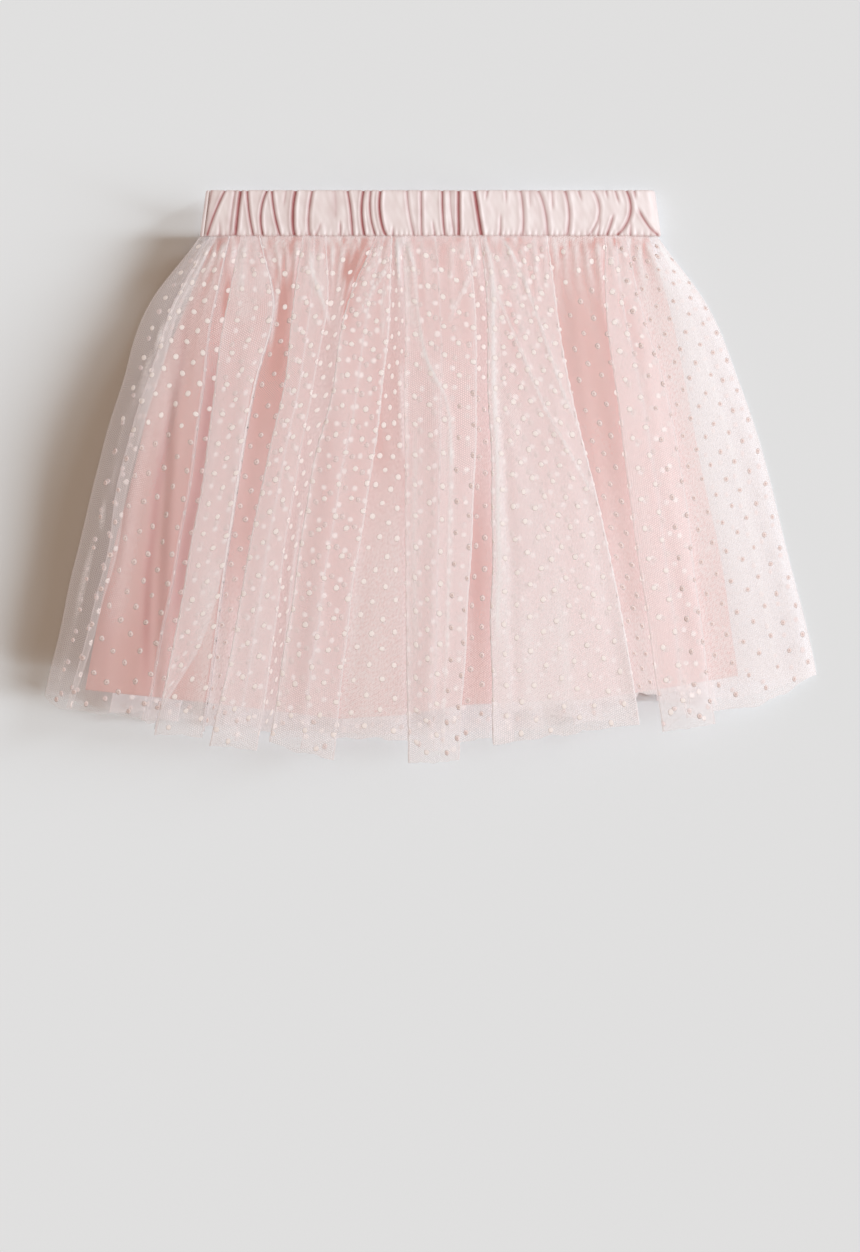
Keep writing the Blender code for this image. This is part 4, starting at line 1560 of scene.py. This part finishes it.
    def build(self, net: Material, flock: Sequence[Material]) -> list[Piece]:
        """Args:
            net: the net's material.
            flock: the dots' three materials.

        Returns:
            The net's object and the dots'.
        """
        name = f"tulle_{self.side.value}"
        cloth, values = self.shape()
        piece = cloth_object(f"{name}_net", cloth, net, values)
        dots = DottedNet(self.turned, seed=self.seed + 9).build(f"{name}_dots", cloth, flock)
        for made in (piece, dots):
            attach(made, BODY)
        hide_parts(name)
        width, length = cloth.size()
        log.info("%s: %.0f by %.0f mm of net, %d points", name, width, length, len(piece.data.vertices))
        return [piece, dots]


@dataclass
class LiningPanel:
    """One A-line panel of plain lining with a narrow turned hem."""

    side: Side
    rise: float
    rows: int = 120
    columns: int = 200
    hem_turn: float = 7.0
    hem_radius: float = 0.35
    hem_round_rows: int = 4
    turn_rows: int = 7
    side_meets: float = 3.0
    stitch_pitch: float = 3.2
    stitch_length: float = 2.2
    stitch_radius: float = 0.16
    stitch_flatness: float = 1.4
    stitch_lift: float = 0.05
    stitch_inset: float = 1.0
    stitch_tip: float = 0.02
    stitch_sides: int = 6
    stitch_rings: Numbers = (-1.0, -0.75, 0.0, 0.75, 1.0)

    def height(self, x: Grid, y: Grid) -> Grid:
        """Middle of the panel, drawn to the waist seam and, at the sides, to the other panel."""
        z = LIE.front_lining(x, y) if self.side is Side.FRONT else LIE.back_lining(y) + 0 * x
        nearest = np.minimum(x - LINING_LEFT.at(y), LINING_RIGHT.at(y) - x)
        meet = (1 - ease(nearest / self.side_meets)) * 0.5 * LIE.layer_pitch
        return LINING_SEAM.drawn(x, y, z - self.side.up * meet, self.side.up)

    def shape(self) -> Cloth:
        """The panel down to its hem, round it, and back up inside for the turning."""
        share = np.linspace(0.0, 1.0, self.columns)
        left, width = LINING_LEFT.values[-1], LINING_RIGHT.values[-1] - LINING_LEFT.values[-1]
        hem = np.interp(left + width * share, *LINING_HEM) + self.rise
        top = PANEL_TOP_Y + SEAM_ALLOWANCE
        y = top + (hem - top) * np.linspace(0.0, 1.0, self.rows)[:, None]
        turn = np.linspace(0.0, math.pi, self.hem_round_rows + 1)[1:, None]
        round_y = hem - self.hem_radius * np.sin(turn)
        back = hem + self.hem_turn * np.linspace(0.0, 1.0, self.turn_rows)[1:, None]
        every_y = np.concatenate([y, round_y, back])
        drop = np.concatenate([
            np.zeros(self.rows), self.hem_radius * (1 - np.cos(turn[:, 0])),
            np.full(self.turn_rows - 1, 2 * self.hem_radius),
        ])[:, None]
        x = LINING_LEFT.at(every_y) + (LINING_RIGHT.at(every_y) - LINING_LEFT.at(every_y)) * share
        z = self.height(x, np.maximum(every_y, hem)) - self.side.up * drop
        points = np.stack([x, every_y, z], axis=-1)
        return Cloth(points, width * share, lengths_along(points), self.side.up)

    def stitches(self, cloth: Cloth, material: Material) -> Piece:
        """A row of hem stitches: low lens-shaped beads along the cloth, in one mesh.

        Args:
            cloth: the panel.
            material: the thread's material.

        Returns:
            Their object.
        """
        hem_down = cloth.down[self.rows - 1]
        count = int(cloth.across[-1] / self.stitch_pitch)
        centre = (np.arange(count) + 0.5) * self.stitch_pitch
        base_down = np.interp(centre, cloth.across, hem_down) - self.hem_turn + self.stitch_inset
        sides, rings = self.stitch_sides, np.array(self.stitch_rings)
        turn = np.arange(sides) * 2 * math.pi / sides
        girth = np.sqrt(np.maximum(0.0, 1 - rings**2)) + self.stitch_tip
        girth = girth[:, None] * self.stitch_radius
        along = centre[:, None] + np.repeat(rings, sides) * self.stitch_length / 2
        aside = base_down[:, None] + (girth * np.cos(turn)).ravel() * self.stitch_flatness
        above = (girth * np.sin(turn)).ravel() + self.stitch_lift
        point, normal = cloth.place(along.ravel(), aside.ravel())
        point = point + normal * np.tile(above, count)[:, None]
        cap = np.array([[0, 1, 2, 3], [0, 3, 4, 5]])
        last = sides * (len(rings) - 1)
        quad = np.concatenate([quads(len(rings), sides, round_columns=True), cap, last + cap[:, ::-1]])
        every = (np.arange(count)[:, None, None] * sides * len(rings) + quad[None]).reshape(-1, 4)
        every = every if self.side.up > 0 else every[:, ::-1]
        return make_object(f"lining_{self.side.value}_stitches", point, every, [material])

    def build(self, woven: Material, thread: Material) -> list[Piece]:
        """Args:
            woven: the cloth's material.
            thread: the stitches' material.

        Returns:
            The cloth's object and the stitches'.
        """
        name = f"lining_{self.side.value}"
        cloth = self.shape()
        x, y = cloth.points[..., 0], cloth.points[..., 1]
        # Painted shade: the front lining's colour is darkened along its grooves.
        depth = -summed(LINING_GROOVES, x, y) * (self.side.up > 0)
        piece = cloth_object(f"{name}_cloth", cloth, woven, {"depth": np.clip(depth, 0.0, 1.0)})
        stitches = self.stitches(cloth, thread)
        for made in (piece, stitches):
            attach(made, BODY)
        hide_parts(name)
        width, length = cloth.size()
        log.info("%s: %.0f by %.0f mm", name, width, length)
        return [piece, stitches]


@dataclass(frozen=True)
class Trough:
    """A valley between two gathers of the band: its x at three heights, depth and width.

    starts and ends are shares of the band's depth, from its top edge down.
    """

    top: float
    middle: float
    bottom: float
    depth: float
    half_width: float
    starts: float = -0.3
    ends: float = 1.3
    end_fade: float = 0.2
    roundness: float = 1.4
    shoulder: float = 0.34
    shoulder_place: float = 2.5
    shoulder_width: float = 1.1
    painted_side_shade: float = 0.1
    painted_side_shade_place: float = 2.4
    painted_side_shade_width: float = 2.0

    def profile(self, x: Grid, share: Grid) -> Grids:
        """How deep the valley is and how much painted shade it has.

        A pointed bell makes the valley, with a low round shoulder on each side. The painted shade has the
        bell, darkening the valley, and a soft wide one to the left of it.

        Args:
            x: places along the band.
            share: places down the band, from 0 at the top edge to 1.

        Returns:
            The drop in mm and the share of painted shade, the deep colour.
        """
        line = (
            self.top * (1 - share) * (1 - 2 * share)
            + self.middle * 4 * share * (1 - share)
            + self.bottom * share * (2 * share - 1)
        )
        across = (x - line) / self.half_width
        run = ease((share - self.starts) / self.end_fade) * ease((self.ends - share) / self.end_fade)
        core = np.exp(-(np.abs(across) ** self.roundness))
        shoulder = np.exp(-(((np.abs(across) - self.shoulder_place) / self.shoulder_width) ** 2))
        # Painted shade in a soft wide band to the left of the valley.
        beside = np.exp(-(((across + self.painted_side_shade_place) / self.painted_side_shade_width) ** 2))
        drop = self.depth * (core - self.shoulder * shoulder)
        return drop * run, self.depth * (core + self.painted_side_shade * beside) * run


FRONT_TROUGHS = (
    Trough(-117.4, -118.6, -119.6, 0.5, 0.66),
    Trough(-110.3, -114.6, -116.9, 1, 0.61),
    Trough(-112.8, -112.3, -111, 0.4, 0.57, starts=0.62),
    Trough(-105, -106.2, -106.7, 0.4, 0.66),
    Trough(-102, -103.3, -104, 1.3, 0.7),
    Trough(-98.5, -97.5, -95.2, 0.95, 0.66),
    Trough(-87.8, -91.2, -90, 1.05, 0.61),
    Trough(-85.3, -83.9, -80.8, 1, 0.66),
    Trough(-77.5, -79.3, -80.2, 0.35, 0.74, ends=0.42),
    Trough(-72.4, -74, -73.3, 1.35, 0.74),
    Trough(-63.5, -65.4, -65.2, 0.85, 0.74),
    Trough(-54.8, -57.4, -61.4, 0.5, 0.74, starts=0.66),
    Trough(-51.6, -51, -51.8, 0.3, 1.31, ends=0.7),
    Trough(-49.6, -48.8, -48.5, 0.6, 0.57, starts=0.6),
    Trough(-44.7, -42.8, -42, 0.95, 0.7),
    Trough(-36, -37.1, -35.4, 1.2, 0.66),
    Trough(-32.1, -32.5, -29.6, 0.9, 0.57),
    Trough(-26.9, -27.3, -24.2, 1.25, 0.66),
    Trough(-20.2, -20.2, -20.2, 0.5, 0.57, starts=0.72),
    Trough(-12.8, -11.5, -8.9, 0.55, 0.66),
    Trough(-5.2, -5.1, -4.9, 0.7, 0.66),
    Trough(-0.9, 0.5, 2.4, 0.5, 0.57, starts=0.6),
    Trough(6.3, 6.5, 7.6, 0.95, 0.66),
    Trough(10.4, 11, 13, 0.4, 0.66),
    Trough(15, 15, 15.2, 1.35, 0.7),
    Trough(23.5, 25.4, 27.3, 1.45, 0.78),
    Trough(30.5, 28.8, 27.6, 0.5, 0.57, ends=0.3),
    Trough(37.6, 37.6, 37.4, 0.5, 0.66, starts=0.45),
    Trough(40.4, 40.6, 40.8, 0.4, 0.57, ends=0.35),
    Trough(48.3, 49.7, 49.4, 0.6, 0.9),
    Trough(53.1, 53.5, 53.8, 0.3, 0.82, ends=0.45),
    Trough(57.8, 61.7, 62.6, 0.6, 0.9),
    Trough(65, 65.6, 65.9, 0.4, 0.66, ends=0.5),
    Trough(72.1, 74.4, 73.2, 0.7, 0.82),
    Trough(79.2, 83, 86, 0.5, 0.57, ends=0.3),
    Trough(87.2, 90.6, 84.7, 0.55, 0.74),
    Trough(91.9, 91.3, 89.9, 0.45, 0.66, starts=0.55),
    Trough(94, 96.4, 98, 0.5, 0.57, ends=0.26),
    Trough(99, 102.4, 105, 0.55, 0.57, ends=0.36),
    Trough(100.6, 98.4, 94.6, 0.75, 0.66, starts=0.48),
    Trough(105, 106.7, 99.9, 0.9, 0.74),
    Trough(107.6, 106.8, 106.2, 0.45, 0.57, starts=0.6),
    Trough(109.4, 110.2, 111, 0.6, 0.57, ends=0.26),
    Trough(108.8, 111.6, 118.2, 0.85, 0.66, starts=0.34),
)


@dataclass(frozen=True)
class SimilarTroughs:
    """Valleys for the casing's other side, uneven in spacing, lean, depth and length.

    A share of them starts late, and another one ends early.
    """

    count: int
    seed: int
    reach: float = 112.0
    aside: float = 2.2
    lean: float = 1.6
    depths: Pair = (0.35, 1.35)
    half_widths: Pair = (0.58, 0.9)
    late_below: float = 0.15
    late_start: float = 0.5
    early_above: float = 0.82
    early_end: float = 0.45

    def draw(self) -> tuple[Trough, ...]:
        """The valleys from the left end to the right one."""
        draw, count = np.random.default_rng(self.seed), self.count
        middle = np.linspace(-self.reach, self.reach, count) + draw.uniform(-self.aside, self.aside, count)
        lean = draw.normal(0.0, self.lean, (2, count))
        depth = draw.uniform(*self.depths, count)
        half_width = draw.uniform(*self.half_widths, count)
        short = draw.uniform(0.0, 1.0, count)
        starts = np.where(short < self.late_below, self.late_start, Trough.starts)
        ends = np.where(short > self.early_above, self.early_end, Trough.ends)
        return tuple(
            Trough(*row)
            for row in zip(middle + lean[0], middle, middle + lean[1], depth, half_width, starts, ends)
        )


@dataclass
class SatinCasing:
    """One half of the waistband: a casing of satin gathered over flat elastic.

    Its section runs in from one side seam round the side and along the band, and the
    cloth goes round it as a flat tube with a fold along the top.
    """

    side: Side
    troughs: tuple[Trough, ...]
    seed: int
    top_y: float = 153.9
    bottom_y: float = 129.0
    half_width: float = BAND_HALF_WIDTH
    height: float = SKIRT_HEIGHT
    wall: float = 2.4
    corner: float = 4.0
    corner_columns: int = 14
    lip: float = 1.5
    lip_above_corner: float = 0.35
    lip_columns: int = 4
    far_end_gap: float = 1.2
    gather_depth: float = 1.4
    run_columns: int = 760
    face_rows: int = 26
    edge_rows: int = 7
    inner_rows: int = 6
    ridge: float = 0.8
    deepest: float = 1.35
    deep_from: float = 1.5
    pucker_height: float = 0.22
    pucker_pitch: float = 2.9
    seam_puckers_from: float = 0.8
    top_puckers_to: float = 0.12
    seam_pucker_shade: float = 0.3
    top_pucker_shade: float = 0.1
    relief_ends: float = 6.0
    flare: float = 3.4
    flare_from: float = 96.0
    flare_width: float = 26.0
    edge_notch: float = 0.5
    end_round: float = 1.3
    end_thinness: float = 0.06
    clearance: float = 0.15

    def section(self) -> tuple[Grid, Grid, Grid]:
        """The casing's section, seen from the hem.

        Its middle line comes down a short lip at one side, turns a quarter circle and runs
        straight to the other side. The front casing is the back one turned half round.

        Returns:
            The line's points, its outward normals and the distance along it.
        """
        left = -self.half_width + self.wall / 2
        low = self.wall / 2 + self.gather_depth
        right = self.half_width - self.wall - self.far_end_gap + self.wall / 2
        turn = np.radians(np.linspace(180.0, 270.0, self.corner_columns))
        rise = np.linspace(self.lip, self.lip_above_corner, self.lip_columns)
        lip = np.stack([np.full(self.lip_columns, left), rise + low + self.corner], axis=1)
        corner = np.stack(
            [left + self.corner * (1 + np.cos(turn)), low + self.corner * (1 + np.sin(turn))], axis=1
        )
        run_x = np.linspace(left + self.corner, right, self.run_columns + 1)[1:]
        run = np.stack([run_x, np.full_like(run_x, low)], axis=1)
        line = np.concatenate([lip, corner, run])
        along = lengths_along(line)
        tangent = unit(np.gradient(line, along, axis=0))
        outward = np.stack([tangent[:, 1], -tangent[:, 0]], axis=1)
        if self.side is Side.FRONT:
            line = np.stack([-line[:, 0], self.height - line[:, 1]], axis=1)
            outward = -outward
        return line, outward, along

    def girth(self) -> tuple[Grid, Grid, Grid]:
        """The way round the tube: out over the face, over the top fold and back inside.

        Returns:
            For each row its share down from the top edge, how far out of the middle it
            lies, from 1 outside to -1 inside, and how much of the relief it takes.
        """
        fold = self.wall / 2 / (self.top_y - self.bottom_y)
        arc = np.linspace(0.0, math.pi, self.edge_rows + 2)[1:-1]
        down = np.concatenate([
            np.linspace(1.0 - fold, fold, self.face_rows), fold * (1 - np.sin(arc)),
            np.linspace(fold, 1.0 - fold, self.inner_rows), 1.0 - fold * (1 - np.sin(arc)),
        ])
        out = np.concatenate([
            np.ones(self.face_rows), np.cos(arc), -np.ones(self.inner_rows), -np.cos(arc),
        ])
        takes = np.concatenate([
            np.ones(self.face_rows), 0.5 + 0.5 * np.cos(arc), np.zeros(self.inner_rows),
            0.5 - 0.5 * np.cos(arc),
        ])
        return down[:, None], out[:, None], takes[:, None]

    def relief(self, x: Grid, share: Grid) -> Grids:
        """The gathered face's relief: troughs, soft swells, and puckers along both edges.

        Args:
            x: places along the band.
            share: places down the band, from 0 at the top edge to 1.

        Returns:
            The height over the plain wall, and the share of painted shade at each place: deeper colour down
            in the troughs and puckers, with a random blush.
        """
        drop, tint = map(sum, zip(*(trough.profile(x, share) for trough in self.troughs)))
        soft = SATIN_SWELL.at(x, share, self.seed) + SATIN_RIPPLE.at(x, share, self.seed)
        wave = np.sin(x * 2 * math.pi / self.pucker_pitch + SATIN_PUCKERS.at(x, share, self.seed))
        seam = wave * ease((share - self.seam_puckers_from) / (1 - self.seam_puckers_from))
        top = wave * ease((self.top_puckers_to - share) / self.top_puckers_to)
        tint = tint + SATIN_BLUSH.at(x, share, self.seed)
        # Painted shade: deeper colour down in the puckers' hollows along both edges.
        tint = tint + self.seam_pucker_shade * np.maximum(-seam, 0.0) ** 2
        tint = tint + self.top_pucker_shade * np.maximum(-top, 0.0)
        sunk = self.deepest * np.tanh(drop / self.deep_from)
        return self.ridge - sunk + soft + self.pucker_height * seam, np.clip(tint, 0.0, 1.0)

    def shape(self) -> Grids:
        """The casing's points, a grid of rows round the tube by columns along it.

        The wall thins to almost nothing over its last bit at both ends, as half an
        ellipse, and the band flares a little at its lower corners.

        Returns:
            The points, and the share of painted shade at each one, greater down in the gathers.
        """
        line, outward, along = self.section()
        down, out, takes = self.girth()
        raised, deep = self.relief(line[:, 0] + np.zeros_like(down), down)
        to_end = np.minimum(along, along[-1] - along)
        fade = ease(to_end / self.relief_ends)
        near = np.clip(to_end / self.end_round, 0.0, 1.0)
        thinned = np.maximum(np.sqrt(near * (2 - near)), self.end_thinness)
        lift = np.maximum(raised * takes * fade, -self.wall)
        off = (out * self.wall / 2 + lift) * thinned
        notch = self.edge_notch * deep * fade * np.abs(2 * down - 1) ** 6 * np.sign(0.5 - down)
        y = self.top_y + (self.bottom_y - self.top_y) * down - notch
        x = line[:, 0] + outward[:, 0] * off
        z = line[:, 1] + outward[:, 1] * off
        flared = ease((np.abs(x) - self.flare_from) / self.flare_width) * np.sign(x)
        x = x + self.flare * flared * down
        return np.stack([x, y, np.maximum(z, self.clearance)], axis=-1), deep * takes

    def build(self, satin: Material) -> Piece:
        """Args:
            satin: its material.

        Returns:
            Its object.
        """
        points, depth = self.shape()
        quad = quads(*depth.shape, round_rows=True)
        round_way = lengths_along(points[:, depth.shape[1] // 2])
        across = lengths_along(points[self.face_rows // 2][:, [0, 2]])
        uv = np.stack(np.broadcast_arrays(across, round_way[:, None]), axis=-1).reshape(-1, 2)
        name = f"waistband_{self.side.value}"
        # The depth value is painted shade: deep colour in the troughs and puckers.
        piece = make_object(f"{name}_satin", points.reshape(-1, 3), quad, [satin], uv, {"depth": depth})
        self.close_mesh(piece.data)
        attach(piece, BODY)
        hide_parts(name)
        log.info("%s: %.0f mm of satin drawn up to %.0f mm", name, across[-1], 2 * self.half_width)
        return piece

    def close_mesh(self, mesh: bpy.types.Mesh) -> None:
        """Closes the two pinched ends and turns every face outwards."""
        shell = bmesh.new()
        shell.from_mesh(mesh)
        bmesh.ops.holes_fill(shell, edges=[edge for edge in shell.edges if edge.is_boundary], sides=0)
        bmesh.ops.recalc_face_normals(shell, faces=shell.faces)
        shell.to_mesh(mesh)
        shell.free()


def hang(light: bpy.types.Light, turned: Triple, place: Triple = (0.0, 0.0, 0.0)) -> Piece:
    """Links the object of a light, turned by angles in radians, at a place in millimetres."""
    lamp = bpy.data.objects.new(light.name, light)
    lamp.rotation_euler = turned
    lamp.location = tuple(part * MM for part in place)
    bpy.context.scene.collection.objects.link(lamp)
    return lamp


@dataclass(frozen=True)
class FarLamp:
    """A far light: how high it stands, its turn from +X, strength, softness and tint.

    held_by_band says whether the waistband holds its light back too.
    """

    height: float = 7.5
    turn: float = 0.0
    strength: float = 7.2
    softness: float = 9.0
    tint: Triple = (0.789, 0.911, 1.0)
    held_by_band: bool = False

    def build(self, name: str) -> Piece:
        """Makes the lamp, which shines from the right down to the left."""
        sun = bpy.data.lights.new(name, "SUN")
        sun.energy = self.strength
        sun.angle = math.radians(self.softness)
        sun.color = self.tint
        return hang(sun, (0.0, math.radians(90 - self.height), math.radians(self.turn)))


@dataclass(frozen=True)
class SoftBox:
    """A square soft box that looks at the skirt: its place, size, power and tint."""

    place: Triple = (820.0, 140.0, 990.0)
    size: float = 560.0
    power: float = 12.0
    tint: Triple = (0.91, 1.01, 1.09)

    def build(self, name: str) -> Piece:
        """Makes the soft box, aimed at the origin."""
        box = bpy.data.lights.new(name, "AREA")
        box.energy = self.power
        box.size = self.size * MM
        box.color = self.tint
        across, along, up = self.place
        tilt = math.atan2(math.hypot(across, along), up)
        return hang(box, (0.0, tilt, math.atan2(along, across)), self.place)


@dataclass
class Studio:
    """The pale surface, the room's light, the lamps on the right and the camera overhead.

    Four low lamps side by side, as a wide low window, light the surface alone and draw
    the skirt's long soft shadow on it. A soft box on the right and a weaker one on the
    left light the cloth alone, and the thin cloth holds none of their light back. The
    waistband holds back the soft boxes and the low lamp that shines past its end.
    """

    surface_size: float = 5000.0
    window: tuple[FarLamp, ...] = (
        FarLamp(height=6.7, turn=-20.0, strength=6.5), FarLamp(strength=7.7),
        FarLamp(turn=26.0, strength=2.0), FarLamp(turn=30.0, strength=1.9, held_by_band=True),
    )
    soft_boxes: tuple[SoftBox, ...] = (SoftBox(), SoftBox(place=(-1300.0, -50.0, 600.0), power=3.2))
    room_light: float = 0.362
    room_tint: Triple = (1.0, 0.74, 0.553)
    camera_place: Triple = (-0.3, -80.5, 1878.0)
    lens: float = 100.0
    sight: Pair = (0.1, 20.0)
    clear_bounces: int = 40

    def group(self, name: str, pieces: Sequence[Piece]) -> bpy.types.Collection:
        """A named group of pieces that a lamp shines on, or that hold its light back."""
        group = bpy.data.collections.new(name)
        for piece in pieces:
            group.objects.link(piece)
        return group

    def aim(self, lamp: Piece, lit: bpy.types.Collection, before: bpy.types.Collection) -> None:
        """Has a lamp light one group alone, with another one to hold its light back."""
        lamp.light_linking.receiver_collection = lit
        lamp.light_linking.blocker_collection = before

    def build(
        self, paper: Material, nets: Sequence[Piece], linings: Sequence[Piece], casings: Sequence[Piece]
    ) -> None:
        """Makes the surface, the lamps, the room and the camera.

        Args:
            paper: the surface's material.
            nets: the nets and their dots. The back one holds back the low lamps.
            linings: the lining, which holds back the low lamps too.
            casings: the waistband, which holds back the soft boxes and the last low lamp.
        """
        corners = np.array([[-1, -1, 0], [1, -1, 0], [1, 1, 0], [-1, 1, 0]]) * self.surface_size / 2
        surface = make_object("surface", corners, np.array([[0, 1, 2, 3]]), [paper])
        lit = self.group("lit_by_window", [surface])
        thin = [*nets[:2], *linings]
        before = self.group("before_window", thin), self.group("before_last_window", [*thin, *casings])
        for number, far in enumerate(self.window):
            self.aim(far.build(f"window_{number}"), lit, before[far.held_by_band])
        lit = self.group("lit_by_boxes", [*nets, *linings, *casings])
        band = self.group("before_boxes", casings)
        for number, soft in enumerate(self.soft_boxes):
            self.aim(soft.build(f"soft_box_{number}"), lit, band)

        scene = bpy.context.scene
        room = bpy.data.worlds.new("room")
        room.use_nodes = True
        background = room.node_tree.nodes["Background"]
        background.inputs["Color"].default_value = (*self.room_tint, 1.0)
        background.inputs["Strength"].default_value = self.room_light
        scene.world = room

        lens = bpy.data.cameras.new("overhead")
        lens.lens = self.lens
        lens.clip_start, lens.clip_end = self.sight
        camera = bpy.data.objects.new("overhead", lens)
        camera.location = tuple(c * MM for c in self.camera_place)
        scene.collection.objects.link(camera)
        scene.camera = camera
        scene.view_settings.view_transform = "Standard"
        scene.cycles.transparent_max_bounces = self.clear_bounces
        log.info("studio: %d low lamps and %d soft boxes", len(self.window), len(self.soft_boxes))


def main() -> None:
    """Builds the skirt's pieces in order, from the surface up, and logs each one."""
    logging.basicConfig(level=logging.INFO, format="%(message)s")
    net = NET.material("dotted_net")
    flock = [FLOCK.material("flock"), FLOCK_BACK.material("flock_back"), PASTE.material("paste")]
    woven = LINING_CLOTH.material("lining_weave")
    thread = THREAD.material("hem_thread")
    satin = SATIN.material("satin")
    back_net = TullePanel(
        Side.BACK, BACK_FOLDS, BACK_HEM, BACK_CREASES, (), BACK_LAST_GAP, (),
        rows=100, bend_columns=6, seed=21,
    )
    front_net = TullePanel(
        Side.FRONT, FRONT_FOLDS, FRONT_HEM, FRONT_CREASES, FRONT_VEILS, FRONT_LAST_GAP, FRONT_TURNED,
        rows=130, bend_columns=8, seed=40,
    )
    nets = back_net.build(net, flock)
    linings = LiningPanel(Side.BACK, 1.5, rows=70, columns=110).build(woven, thread)
    linings += LiningPanel(Side.FRONT, 0.0).build(woven, thread)
    nets += front_net.build(net, flock)
    casings = [
        SatinCasing(Side.BACK, SimilarTroughs(34, 8).draw(), 61).build(satin),
        SatinCasing(Side.FRONT, FRONT_TROUGHS, 60).build(satin),
    ]
    Studio().build(PaperFinish().material("paper"), nets, linings, casings)


if __name__ == "__main__":
    main()
